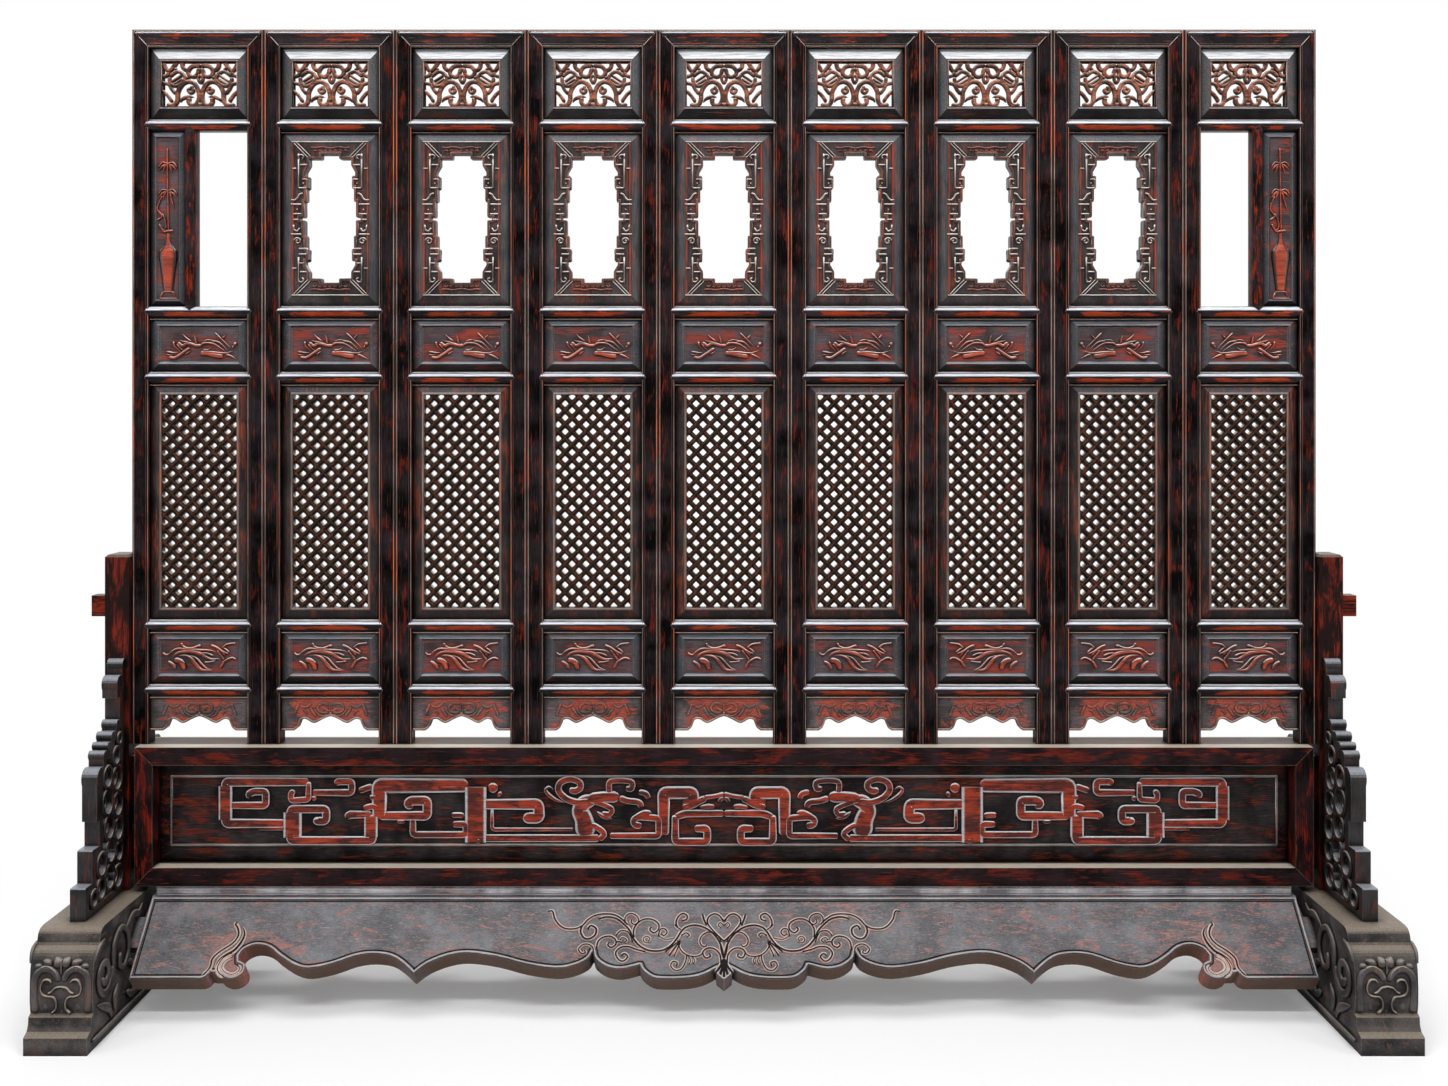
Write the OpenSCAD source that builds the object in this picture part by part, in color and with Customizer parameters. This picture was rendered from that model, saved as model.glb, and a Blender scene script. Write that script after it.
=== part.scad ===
// Standing hall screen: nine carved leaves that lift out of a framed stand on two long feet.
// The origin is the middle of the footprint on the floor, +Z is up and the front faces -Y.
// The stand is alike in front and behind, so what stands for the front is mirrored to the back.

/* [Leaves] */
// Width of one leaf
leaf_w = 328; // [300:1:360]
// Thickness of the leaf frames
leaf_t = 45; // [40:1:60]
// Gap beside each leaf, to its neighbour or to a post
leaf_gap = 0.8; // [0.5:0.1:2]
// Face width of the leaf stiles
stile_w = 41; // [36:1:50]
// Height of the mitred rail at the top of a leaf
top_rail_h = 44; // [36:1:60]
// Height of the half-round rails
rail_h = 28; // [26:1:34]
// How far the half-round rails stand proud of the stiles
rail_proud = 3; // [1:0.5:5]
// How far the point of a half-round rail runs over the stile
point_l = 11; // [6:1:14]
// Length of the rail tenons in the stiles
rail_tenon_l = 28; // [20:1:32]
// Thickness of the rail tenons
rail_tenon_t = 15; // [13:1:20]
// Height of the rail tenons
rail_tenon_h = 11; // [8:1:12]
// Stub foot tenon under each stile, across the leaf
foot_tenon_w = 22; // [16:1:28]
// Stub foot tenon under each stile, through the thickness
foot_tenon_t = 18; // [12:1:24]
// Length of the stub foot tenons
foot_tenon_l = 26; // [20:1:28]

/* [Leaf openings] */
// Height from the stand up to the lowest rail
leg_h = 120; // [110:1:150]
// Clear height of the lower carved panel
lower_panel_h = 134; // [110:1:160]
// Clear height of the lattice
lattice_h = 592; // [500:1:640]
// Clear height of the upper carved panel
upper_panel_h = 137; // [110:1:160]
// Clear height of the window or medallion
medallion_h = 439; // [420:1:480]
// Clear height of the openwork panel
openwork_h = 180; // [160:1:220]

/* [Leaf panels] */
// Thickness of a panel's edge, and of the grooves that it sits in
panel_edge_t = 12; // [10:1:14]
// Thickness of a panel across its raised field
panel_field_t = 28; // [24:1:34]
// Depth of the panel grooves
groove_d = 8; // [6:1:8]
// Clearance of a panel in its grooves
panel_fit = 0.2; // [0.1:0.1:0.5]
// Width of the bevelled border of the carved panels
panel_border = 23; // [15:1:30]
// Width of the bevelled border of the vase panels in the end leaves
vase_border = 16; // [10:1:24]
// Width of the bevelled border beside a medallion or openwork panel
carved_border = 26; // [18:1:30]
// Width of the bevelled border above and below an openwork panel
openwork_border = 31; // [20:1:35]
// Width of the bevelled border round a lattice
lattice_border = 29; // [20:1:32]
// Distance between neighbouring lattice bars, centre to centre
lattice_pitch = 24.75; // [22:0.25:32]
// Width of a lattice bar
bar_w = 12; // [8:0.5:14]
// Depth of the lattice bars
bar_t = 20; // [12:1:21]
// Thickness of the openwork carving
openwork_t = 16; // [10:1:20]
// Width of the openwork scrolls
scroll_w = 8; // [6:0.5:10]
// Thickness of the scalloped board between the legs of a leaf
leg_board_t = 20; // [16:1:30]
// Height of that board below the lowest rail at its ends
leg_board_h = 89; // [75:1:95]
// Face width of the mullion in an end leaf
mullion_w = 28; // [24:1:32]
// Distance of that mullion from the middle of the leaf
mullion_x = 21; // [10:1:30]

/* [Stand frame] */
// Gap between the frame's underside and the tops of the feet
frame_foot_gap = 16; // [10:1:24]
// Depth of the frame, front to back
frame_t = 125; // [110:1:150]
// Height of the frame from its underside to the ledge that carries the leaves
frame_h = 343; // [320:1:400]
// Height of the frame's top and bottom rails
frame_rail_h = 45; // [42:1:55]
// Face width of the frame's end stiles
frame_stile_w = 44; // [40:1:60]
// Recess between the frame's end and the post
frame_recess = 21; // [10:1:30]
// Depth of the frame's tongues in the posts
frame_tongue_d = 14; // [10:1:20]
// Distance of the frame's tongues from its top and underside
frame_tongue_margin = 30; // [20:1:60]
// Thickness of the frame's tongues
frame_tongue_t = 40; // [30:1:50]
// Thickness of the long panel at its edges
long_panel_edge_t = 18; // [14:1:24]
// Thickness of the long panel across its field
long_panel_t = 34; // [26:1:50]
// Width of the bevelled border of the long panel
long_panel_border = 30; // [20:1:40]
// Depth of the groove that holds the long panel
long_groove_d = 9; // [6:1:10]

/* [Posts and keys] */
// Face width of a post
post_w = 60; // [50:1:80]
// Depth of a post, front to back
post_t = 85; // [75:1:110]
// Height of the top of a post above the floor
post_top = 1096; // [1040:1:1200]
// Bevel round the top of a post
post_bevel = 6; // [2:1:10]
// Length of the post's tenon in the foot
post_tenon_l = 110; // [80:1:140]
// Shoulder round that tenon
post_shoulder = 10; // [6:1:14]
// Height of the middle of the key above the floor
key_z = 966; // [930:1:1000]
// Height of the key
key_h = 52; // [40:1:56]
// Thickness of the key, front to back
key_t = 40; // [30:1:50]
// How far the key stands out of the post
key_out = 42; // [30:1:60]
// Clearance of the key in its hole
key_fit = 0.5; // [0.3:0.1:1]

/* [Standing brackets] */
// Thickness of a bracket
bracket_t = 36; // [28:1:44]
// Thickness of the bracket's solid stepped edge
bracket_edge = 22; // [16:1:26]
// Width of the bracket's straight strips along the post and the foot
bracket_strip = 18; // [12:1:22]
// Width of the scrolls carved through a bracket
bracket_scroll_w = 9; // [7:0.5:12]
// Depth of the bracket's tongue in the post
bracket_tongue_d = 10; // [6:1:12]
// Thickness of that tongue
bracket_tongue_t = 12; // [8:1:20]

/* [Feet] */
// Length of a foot, front to back
foot_l = 823; // [800:1:900]
// Width of a foot
foot_w = 144; // [120:1:180]
// Height of the flat top of a foot
foot_top = 262; // [250:1:275]
// Height of the slab at the toe of a foot
toe_h = 43; // [30:1:50]

/* [Sloping aprons] */
// Height of the strip between the frame and an apron
strip_h = 22; // [18:1:30]
// Depth of that strip
strip_t = 26; // [20:1:36]
// How far the strip stands out in front of the frame
strip_out = 6; // [2:1:10]
// Slope of an apron below the horizontal
apron_slope = 43; // [38:1:48]
// Thickness of an apron board
apron_t = 52; // [30:1:60]
// Length of an apron down its slope, at its ends
apron_l = 217; // [205:1:235]
// Gap between the end of an apron and the foot
apron_end_gap = 26; // [5:1:40]
// Depth of the apron's stub tenons in the feet
apron_tenon_d = 20; // [10:1:30]
// Distance of those tenons down the slope from the strip
apron_tenon_start = 50; // [40:1:60]
// Width of those tenons down the slope
apron_tenon_w = 80; // [60:1:90]

/* [Fits] */
// Clearance round the stub foot tenons, which slide in their mortises
slide_fit = 0.5; // [0.3:0.1:1]
// Clearance between glued pieces that share a mortise
glue_fit = 0.2; // [0.1:0.1:0.4]

/* [Hidden] */
$fn = 32;
leaf_count = 9;
tenon_end_gap = 1;
eps = 0.01;
lacquer = "#2a1a18";
red_lacquer = "#5c2018";
worn_red = "#7a2a18";
grey_wood = "#4a4644";
step_x = leaf_w + leaf_gap;
row_half = (leaf_count * leaf_w + (leaf_count - 1) * leaf_gap) / 2;
inner_w = leaf_w - 2 * stile_w;
inner_half = inner_w / 2;
ledge_z = foot_top + frame_foot_gap + frame_h;
frame_z = ledge_z - frame_h;
rail_1 = ledge_z + leg_h;
rail_2 = rail_1 + rail_h + lower_panel_h;
rail_3 = rail_2 + rail_h + lattice_h;
rail_4 = rail_3 + rail_h + upper_panel_h;
rail_5 = rail_4 + rail_h + medallion_h;
rails = [rail_1, rail_2, rail_3, rail_4, rail_5];
top_rail_z = rail_5 + rail_h + openwork_h;
leaf_top = top_rail_z + top_rail_h;
tongue_l = groove_d - 0.5;
post_in = row_half + leaf_gap;
post_x = post_in + post_w / 2;
frame_half = post_in - frame_recess;
frame_in = frame_half - frame_stile_w;
front_y = frame_t / 2;
foot_in = post_x - foot_w / 2;
apron_half = foot_in - apron_end_gap;
strip_z = frame_z - strip_h;
strip_front = front_y + strip_out;
mullion_left = -mullion_x - mullion_w / 2;
leaf_numbers = [for (n = [1:leaf_count]) n];
middle_numbers = [for (n = [2:leaf_count - 1]) n];
stand_nodes = ["left_foot", "right_foot", "left_post", "right_post",
  "left_front_bracket", "left_back_bracket", "right_front_bracket", "right_back_bracket",
  "frame_top_rail", "frame_bottom_rail", "frame_left_stile", "frame_right_stile", "frame_panel",
  "front_apron", "back_apron", "left_key", "right_key"];
leaf_parts = ["_stiles", "_rails", "_panels", "_lattice"];

// Catmull-Rom curve through a list of points
function curve_at(a, b, c, d, t) =
  0.5 * (2 * b + (c - a) * t + (2 * a - 5 * b + 4 * c - d) * t * t + (3 * b - a - 3 * c + d) * t * t * t);
function curve(p, steps = 4) = [
  for (i = [0:len(p) - 2]) for (k = [0:steps - 1])
    curve_at(p[max(i - 1, 0)], p[i], p[i + 1], p[min(i + 2, len(p) - 1)], k / steps),
  p[len(p) - 1]];
function reversed(p) = [for (i = [len(p) - 1:-1:0]) p[i]];

// Part of a convex outline on the inner side of the line where normal * point = reach
function clipped(p, normal, reach) = [
  for (i = [0:len(p) - 1])
    let (a = p[i], b = p[(i + 1) % len(p)], fa = normal * a - reach, fb = normal * b - reach)
    each concat(fa <= 0 ? [a] : [], fa * fb < 0 ? [a + (b - a) * fa / (fa - fb)] : [])];
function clipped_to(p, w, h) =
  clipped(clipped(clipped(clipped(p, [1, 0], w), [-1, 0], w), [0, 1], h), [0, -1], h);

// Stands an outline drawn in X and Z upright, t thick about the middle plane
module upright(t) {
  rotate([90, 0, 0])
    linear_extrude(t, center = true)
      children();
}

module block(x0, x1, t, z0, z1) {
  translate([x0, -t / 2, z0])
    cube([x1 - x0, t, z1 - z0]);
}

// Section of a raised panel of clear width w: thin tongues, mitred bevels and a thick field
module panel_section(w, border, edge, field, tongue) {
  h = w / 2;
  polygon([
    [h - border, -field / 2], [h, -edge / 2], [h + tongue, -edge / 2], [h + tongue, edge / 2],
    [h, edge / 2], [h - border, field / 2], [border - h, field / 2], [-h, edge / 2],
    [-h - tongue, edge / 2], [-h - tongue, -edge / 2], [-h, -edge / 2], [border - h, -field / 2]]);
}

module raised_panel(w, h, border_x, border_z, edge, field, tongue) {
  intersection() {
    linear_extrude(h + 2 * tongue, center = true)
      panel_section(w, border_x, edge, field, tongue);
    rotate([0, 90, 0])
      linear_extrude(w + 2 * tongue, center = true)
        panel_section(h, border_z, edge, field, tongue);
  }
}

module leaf_panel(w, h, border_x, border_z) {
  raised_panel(w, h, border_x, border_z, panel_edge_t, panel_field_t, tongue_l);
}

module at_leaf(n) {
  translate([(n - (leaf_count + 1) / 2) * step_x, 0, 0])
    mirror([n == leaf_count ? 1 : 0, 0, 0])
      children();
}

module at_middle_of(z0, h) {
  translate([0, 0, z0 + h / 2])
    children();
}

// Half-round bar along X with pointed ends
module pointed_bar(length, width, depth, point) {
  half = length / 2;
  r = width / 2;
  intersection() {
    rotate([0, 90, 0])
      linear_extrude(length + 2 * point, center = true)
        union() {
          square([width, depth - width], center = true);
          translate([0, depth / 2 - r])
            circle(r);
          translate([0, r - depth / 2])
            circle(r);
        }
    upright(depth + 2)
      polygon([[-half - point, 0], [-half, -r - eps], [half, -r - eps],
        [half + point, 0], [half, r + eps], [-half, r + eps]]);
  }
}

module point_notch(z, grow) {
  upright(leaf_t + 2)
    polygon([[-eps, z - rail_h / 2], [point_l + grow, z], [-eps, z + rail_h / 2]]);
}

// Leaf stiles: mitred at the top, grooved for the panels, with stub tenons below. The outer
// stiles of the end leaves have none, because they stand past the end of the stand's frame.
module one_stile(window, tenon) {
  outer = leaf_w / 2;
  difference() {
    union() {
      upright(leaf_t)
        polygon([[inner_half, ledge_z], [outer, ledge_z], [outer, leaf_top], [inner_half, top_rail_z]]);
      if (tenon)
        translate([inner_half + stile_w / 2, 0, 0])
          block(-foot_tenon_w / 2, foot_tenon_w / 2, foot_tenon_t, ledge_z - foot_tenon_l, ledge_z + eps);
    }
    for (z = rails)
      translate([inner_half, 0, z + rail_h / 2]) {
        point_notch(0, 0);
        block(-eps, rail_tenon_l + tenon_end_gap, rail_tenon_t + 2 * glue_fit,
          -rail_tenon_h / 2 - glue_fit, rail_tenon_h / 2 + glue_fit);
      }
    for (zone = grooved_zones(window))
      block(inner_half - eps, inner_half + groove_d, panel_edge_t + 2 * panel_fit, zone[0], zone[1]);
  }
}

function grooved_zones(window) = window
  ? [[rail_1 - leg_board_h, rail_4 + rail_h / 2], [rail_5 + rail_h / 2, top_rail_z + groove_d]]
  : [[rail_1 - leg_board_h, top_rail_z + groove_d]];

module leaf_stiles(n) {
  is_end = n == 1 || n == leaf_count;
  color(lacquer)
    at_leaf(n) {
      one_stile(is_end, true);
      mirror([1, 0, 0])
        one_stile(false, !is_end);
    }
}

// Half-round rail with its tenons; it is grooved above and below between the given X limits
module half_round_rail(z, below, above) {
  translate([0, 0, z + rail_h / 2])
    difference() {
      union() {
        pointed_bar(inner_w, rail_h, leaf_t + 2 * rail_proud, point_l - glue_fit);
        block(-inner_half - rail_tenon_l, inner_half + rail_tenon_l, rail_tenon_t,
          -rail_tenon_h / 2, rail_tenon_h / 2);
      }
      block(below[0], below[1], panel_edge_t + 2 * panel_fit, -rail_h, groove_d - rail_h / 2);
      block(above[0], above[1], panel_edge_t + 2 * panel_fit, rail_h / 2 - groove_d, rail_h);
    }
}

module leaf_top_rail() {
  outer = leaf_w / 2;
  difference() {
    upright(leaf_t)
      polygon([[-inner_half, top_rail_z], [inner_half, top_rail_z], [outer, leaf_top], [-outer, leaf_top]]);
    block(-inner_half - groove_d, inner_half + groove_d, panel_edge_t + 2 * panel_fit,
      top_rail_z - 1, top_rail_z + groove_d);
  }
}

module leaf_rails(n) {
  is_end = n == 1 || n == leaf_count;
  whole = [-inner_half - groove_d, inner_half + groove_d];
  beside_window = [-inner_half - groove_d, mullion_left + groove_d];
  above_4 = is_end ? beside_window : whole;
  color(red_lacquer)
    at_leaf(n) {
      leaf_top_rail();
      half_round_rail(rail_1, whole, whole);
      half_round_rail(rail_2, whole, whole);
      half_round_rail(rail_3, whole, whole);
      difference() {
        union() {
          half_round_rail(rail_4, whole, above_4);
          half_round_rail(rail_5, above_4, whole);
        }
        if (is_end)
          mullion_body(glue_fit);
      }
      if (is_end)
        mullion();
    }
}

// Mullion between the vase panel and the window of an end leaf; its points run over the rails
module mullion_body(grow) {
  translate([-mullion_x, 0, rail_4 + rail_h + medallion_h / 2])
    rotate([0, 90, 0])
      upright(leaf_t + 2 * rail_proud + 2)
        polygon([[-mullion_reach() - grow * sqrt(2), 0], [-medallion_h / 2, -mullion_w / 2 - grow],
          [medallion_h / 2, -mullion_w / 2 - grow], [mullion_reach() + grow * sqrt(2), 0],
          [medallion_h / 2, mullion_w / 2 + grow], [-medallion_h / 2, mullion_w / 2 + grow]]);
}

function mullion_reach() = medallion_h / 2 + point_l;

module mullion() {
  translate([-mullion_x, 0, rail_4 + rail_h + medallion_h / 2])
    difference() {
      rotate([0, 90, 0])
        pointed_bar(medallion_h, mullion_w, leaf_t + 2 * rail_proud, point_l);
      block(-mullion_w, groove_d - mullion_w / 2, panel_edge_t + 2 * panel_fit,
        -medallion_h / 2 - groove_d, medallion_h / 2 + groove_d);
    }
}

// Pierced scrolls of the openwork panel: rings on both sides of the middle, each drawn as
// [distance from the middle, height, radius] in an opening of this size
openwork_drawn = [193, 117];
openwork_rings = [[15.5, 22, 22], [31, -27, 32], [24, -15, 13], [54, 20, 22], [82, 40, 20], [86, 0, 18],
  [76, -38, 22], [36, 50, 14]];

module openwork(w, h) {
  for (side = [-1, 1], ring = openwork_rings)
    translate([side * ring[0] * w / openwork_drawn[0], ring[1] * h / openwork_drawn[1]])
      difference() {
        circle(ring[2]);
        circle(ring[2] - scroll_w);
      }
}

module openwork_panel() {
  open_w = inner_w - 2 * carved_border;
  open_h = openwork_h - 2 * openwork_border;
  difference() {
    leaf_panel(inner_w, openwork_h, carved_border, openwork_border);
    cube([open_w, panel_field_t + 2, open_h], center = true);
  }
  upright(openwork_t)
    intersection() {
      square([open_w + 2, open_h + 2], center = true);
      openwork(open_w, open_h);
    }
}

// Scalloped board between the legs of a leaf, drawn for this half width
leg_board_drawn_half = 123;
function leg_scallops() = concat([[92, 0], [84, 6]], curve([[80, 15], [76, 25], [67, 29], [58, 27],
  [44, 19], [34, 21], [23, 27], [10, 33], [0, 36]], 3));

module leg_board() {
  lower_z = rail_1 - leg_board_h;
  k = inner_half / leg_board_drawn_half;
  half = [for (q = leg_scallops()) [q[0] * k, lower_z + q[1]]];
  upright(leg_board_t)
    polygon(concat([[inner_half, rail_1], [inner_half, lower_z]], half,
      [for (q = reversed(half)) if (q[0] > 0) [-q[0], q[1]]],
      [[-inner_half, lower_z], [-inner_half, rail_1]]));
  for (side = [0, 1])
    mirror([side, 0, 0])
      block(inner_half - 1, inner_half + tongue_l, panel_edge_t, lower_z, rail_1);
  block(-inner_half + 1, inner_half - 1, panel_edge_t, rail_1 - 1, rail_1 + tongue_l);
}

module leaf_panels(n) {
  is_end = n == 1 || n == leaf_count;
  vase_w = mullion_left + inner_half;
  color(worn_red)
    at_leaf(n) {
      at_middle_of(rail_5 + rail_h, openwork_h)
        openwork_panel();
      at_middle_of(rail_3 + rail_h, upper_panel_h)
        leaf_panel(inner_w, upper_panel_h, panel_border, panel_border);
      at_middle_of(rail_1 + rail_h, lower_panel_h)
        leaf_panel(inner_w, lower_panel_h, panel_border, panel_border);
      leg_board();
      if (is_end)
        translate([-inner_half + vase_w / 2, 0, 0])
          at_middle_of(rail_4 + rail_h, medallion_h)
            leaf_panel(vase_w, medallion_h, vase_border, vase_border);
    }
}

// Medallion: bevelled border, carved frame and a stepped window, drawn for a frame of this size
medallion_drawn = [194, 387];
function window_half() = [[0, 161], [22.7, 161], [22.7, 150], [53, 150], [53, 132], [63, 115], [63, 101],
  [55, 101], [55, 78], [60, 78], [60, 43], [65, 43], [65, 4], [77, 4]];

module window_outline() {
  kx = (inner_w - 2 * carved_border) / medallion_drawn[0];
  kz = (medallion_h - 2 * carved_border) / medallion_drawn[1];
  right_top = [for (q = window_half()) [q[0] * kx, q[1] * kz]];
  right = concat(right_top, [for (q = reversed(right_top)) [q[0], -q[1]]]);
  left = [for (q = reversed(right)) if (q[0] > 0) [-q[0], q[1]]];
  polygon(concat(right, left));
}

module leaf_medallion(n) {
  color(lacquer)
    at_leaf(n)
      at_middle_of(rail_4 + rail_h, medallion_h)
        difference() {
          leaf_panel(inner_w, medallion_h, carved_border, carved_border);
          upright(panel_field_t + 2)
            window_outline();
        }
}

// Square lattice set on its corners: a board pierced with diamonds, cut off by the border
function lattice_holes(w, h) =
  let (half_step = lattice_pitch / sqrt(2), r = (lattice_pitch - bar_w) / sqrt(2),
    nx = floor((w / 2 - r / 3) / half_step), nz = floor((h / 2 - r / 3) / half_step))
  [for (i = [-nx:nx], j = [-nz:nz]) if (abs(i + j) % 2 == 0)
    let (x = i * half_step, z = j * half_step)
    clipped_to([[x - r, z], [x, z - r], [x + r, z], [x, z + r]], w / 2, h / 2)];

module lattice_board(w, h, rim) {
  holes = lattice_holes(w, h);
  outer = [[-w / 2 - rim, -h / 2 - rim], [w / 2 + rim, -h / 2 - rim],
    [w / 2 + rim, h / 2 + rim], [-w / 2 - rim, h / 2 + rim]];
  counts = [for (hole = holes) len(hole)];
  starts = [for (i = 0, at = 4; i < len(holes); at = at + counts[i], i = i + 1) at];
  paths = [for (i = [0:len(holes) - 1]) [for (k = [0:counts[i] - 1]) starts[i] + k]];
  upright(bar_t)
    polygon(points = concat(outer, [for (hole = holes) each hole]),
      paths = concat([[0, 1, 2, 3]], paths));
}

module leaf_lattice(n) {
  open_w = inner_w - 2 * lattice_border;
  open_h = lattice_h - 2 * lattice_border;
  rim = lattice_border / 4;
  seat = 2 * (rim + glue_fit);
  color(lacquer)
    at_leaf(n)
      at_middle_of(rail_2 + rail_h, lattice_h) {
        difference() {
          leaf_panel(inner_w, lattice_h, lattice_border, lattice_border);
          cube([open_w, panel_field_t + 2, open_h], center = true);
          cube([open_w + seat, bar_t + 2 * glue_fit, open_h + seat], center = true);
        }
        lattice_board(open_w, open_h, rim);
      }
}

// Stand frame: two rails and two stiles, mitred, round a long panel
module frame_rail_outline(flip) {
  z0 = flip ? frame_z : ledge_z;
  z1 = flip ? frame_z + frame_rail_h : ledge_z - frame_rail_h;
  polygon([[-frame_half, z0], [frame_half, z0], [frame_in, z1], [-frame_in, z1]]);
}

module frame_panel_groove() {
  grow = long_groove_d;
  block(-frame_in - grow, frame_in + grow, long_panel_edge_t + 2 * panel_fit,
    frame_z + frame_rail_h - grow, ledge_z - frame_rail_h + grow);
}

module frame_top_rail() {
  color(red_lacquer)
    difference() {
      upright(frame_t)
        frame_rail_outline(false);
      frame_panel_groove();
      for (n = leaf_numbers, side = [-1, 1])
        if (n + side > 0 && n + side <= leaf_count)
          translate([(n - (leaf_count + 1) / 2) * step_x + side * (inner_half + stile_w / 2), 0, 0])
            block(-foot_tenon_w / 2 - slide_fit, foot_tenon_w / 2 + slide_fit,
              foot_tenon_t + 2 * slide_fit, ledge_z - foot_tenon_l - tenon_end_gap, ledge_z + 1);
    }
}

module frame_bottom_rail() {
  color(red_lacquer)
    difference() {
      upright(frame_t)
        frame_rail_outline(true);
      frame_panel_groove();
    }
}

module frame_stile() {
  difference() {
    union() {
      upright(frame_t)
        polygon([[frame_half, frame_z], [frame_half, ledge_z], [frame_in, ledge_z - frame_rail_h],
          [frame_in, frame_z + frame_rail_h]]);
      block(frame_half - 1, post_in + frame_tongue_d, frame_tongue_t,
        frame_z + frame_tongue_margin, ledge_z - frame_tongue_margin);
    }
    frame_panel_groove();
  }
}

module frame_right_stile() {
  color(red_lacquer)
    frame_stile();
}

module frame_left_stile() {
  color(red_lacquer)
    mirror([1, 0, 0])
      frame_stile();
}

module frame_panel() {
  clear_h = frame_h - 2 * frame_rail_h;
  color(lacquer)
    at_middle_of(frame_z + frame_rail_h, clear_h)
      raised_panel(2 * frame_in, clear_h, long_panel_border, long_panel_border,
        long_panel_edge_t, long_panel_t, long_groove_d - 0.5);
}

// Posts: bevelled top, holes for the key and the frame's tongue, and a shouldered tenon below
module post_bar() {
  intersection() {
    upright(post_t)
      bevelled_top(post_w / 2);
    rotate([0, 0, 90])
      upright(post_w)
        bevelled_top(post_t / 2);
  }
}

module bevelled_top(half) {
  polygon([[-half, foot_top], [half, foot_top], [half, post_top - post_bevel],
    [half - post_bevel, post_top], [post_bevel - half, post_top], [-half, post_top - post_bevel]]);
}

module post_tenon(fit, extra) {
  block(-post_w / 2 + post_shoulder - fit, post_w / 2 - post_shoulder + fit,
    post_t - 2 * post_shoulder + 2 * fit, foot_top - post_tenon_l - extra, foot_top + 1);
}

module post() {
  translate([post_x, 0, 0])
    difference() {
      union() {
        post_bar();
        post_tenon(0, 0);
      }
      block(-post_w, post_w, key_t + 2 * key_fit,
        key_z - key_h / 2 - key_fit, key_z + key_h / 2 + key_fit);
      block(-post_w, frame_tongue_d + tenon_end_gap - post_w / 2, frame_tongue_t + 2 * glue_fit,
        frame_z + frame_tongue_margin - glue_fit, ledge_z - frame_tongue_margin + glue_fit);
      for (side = [0, 1])
        mirror([0, side, 0])
          bracket_tongue(glue_fit);
    }
}

module right_post() {
  color(lacquer)
    post();
}

module left_post() {
  color(lacquer)
    mirror([1, 0, 0])
      post();
}

module key() {
  block(post_in + 0.2, post_x + post_w / 2 + key_out, key_t, key_z - key_h / 2, key_z + key_h / 2);
}

module right_key() {
  color(worn_red)
    key();
}

module left_key() {
  color(worn_red)
    mirror([1, 0, 0])
      key();
}

// Standing brackets, drawn as [distance in front of the middle plane, height above the foot]
bracket_steps = [[285, 77, 4], [243, 154, 4], [200, 219, 4], [215, 338, 24], [175, 372, 10],
  [152, 388, 8], [126, 408, 10], [93, 431, 10], [72, 490, 4], [91, 538, 20], [57, 575, 14]];
bracket_rings = [[236, 38, 24], [192, 50, 30], [140, 62, 34], [88, 48, 32], [190, 106, 32],
  [132, 124, 34], [82, 108, 28], [84, 164, 32], [142, 184, 34], [88, 226, 34], [150, 246, 36],
  [92, 290, 34], [152, 306, 30], [98, 346, 26], [78, 384, 18]];
bracket_top = bracket_steps[len(bracket_steps) - 1][1];

// Outline of one step, with a rounded upper corner in front
function step_outline(back, low, front, high, r) = concat(
  [[back, low], [front, low]],
  [for (a = [0:15:90]) [front - r + r * cos(a), high - r + r * sin(a)]],
  [[back, high]]);

module bracket_outline() {
  for (i = [0:len(bracket_steps) - 1]) {
    low = i == 0 ? 0 : bracket_steps[i - 1][1] - bracket_steps[i - 1][2];
    step = bracket_steps[i];
    polygon(step_outline(post_t / 2, low, step[0], step[1], step[2]));
  }
}

// The part of the outline that is carved through, inside the stepped edge and the strips
module bracket_inside() {
  for (i = [0:len(bracket_steps) - 4]) {
    step = bracket_steps[i];
    next = bracket_steps[i + 1];
    low = i == 0 ? bracket_strip : bracket_steps[i - 1][1] - bracket_edge;
    high = next[0] < step[0] ? step[1] - bracket_edge : step[1];
    front = i > 0 && bracket_steps[i - 1][0] < step[0] ? bracket_steps[i - 1][0] : step[0];
    left = post_t / 2 + bracket_strip;
    if (front - bracket_edge > left)
      translate([left, low])
        square([front - bracket_edge - left, high - low]);
  }
}

module bracket_face() {
  difference() {
    bracket_outline();
    difference() {
      bracket_inside();
      for (ring = bracket_rings)
        translate([ring[0], ring[1]])
          difference() {
            circle(ring[2]);
            circle(ring[2] - bracket_scroll_w);
          }
    }
  }
}

module bracket_tongue(fit) {
  translate([-bracket_tongue_t / 2 - fit, -post_t / 2 - 1, foot_top + bracket_strip])
    cube([bracket_tongue_t + 2 * fit, bracket_tongue_d + fit + 1, bracket_top - 3 * bracket_strip]);
}

module one_bracket() {
  translate([post_x, 0, foot_top])
    rotate([0, 0, -90])
      upright(bracket_t)
        bracket_face();
  translate([post_x, 0, 0])
    bracket_tongue(0);
}

module right_front_bracket() {
  color(lacquer)
    one_bracket();
}

module left_front_bracket() {
  color(lacquer)
    mirror([1, 0, 0])
      one_bracket();
}

module right_back_bracket() {
  color(lacquer)
    mirror([0, 1, 0])
      one_bracket();
}

module left_back_bracket() {
  color(lacquer)
    mirror([1, 0, 0])
      mirror([0, 1, 0])
        one_bracket();
}

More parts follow.
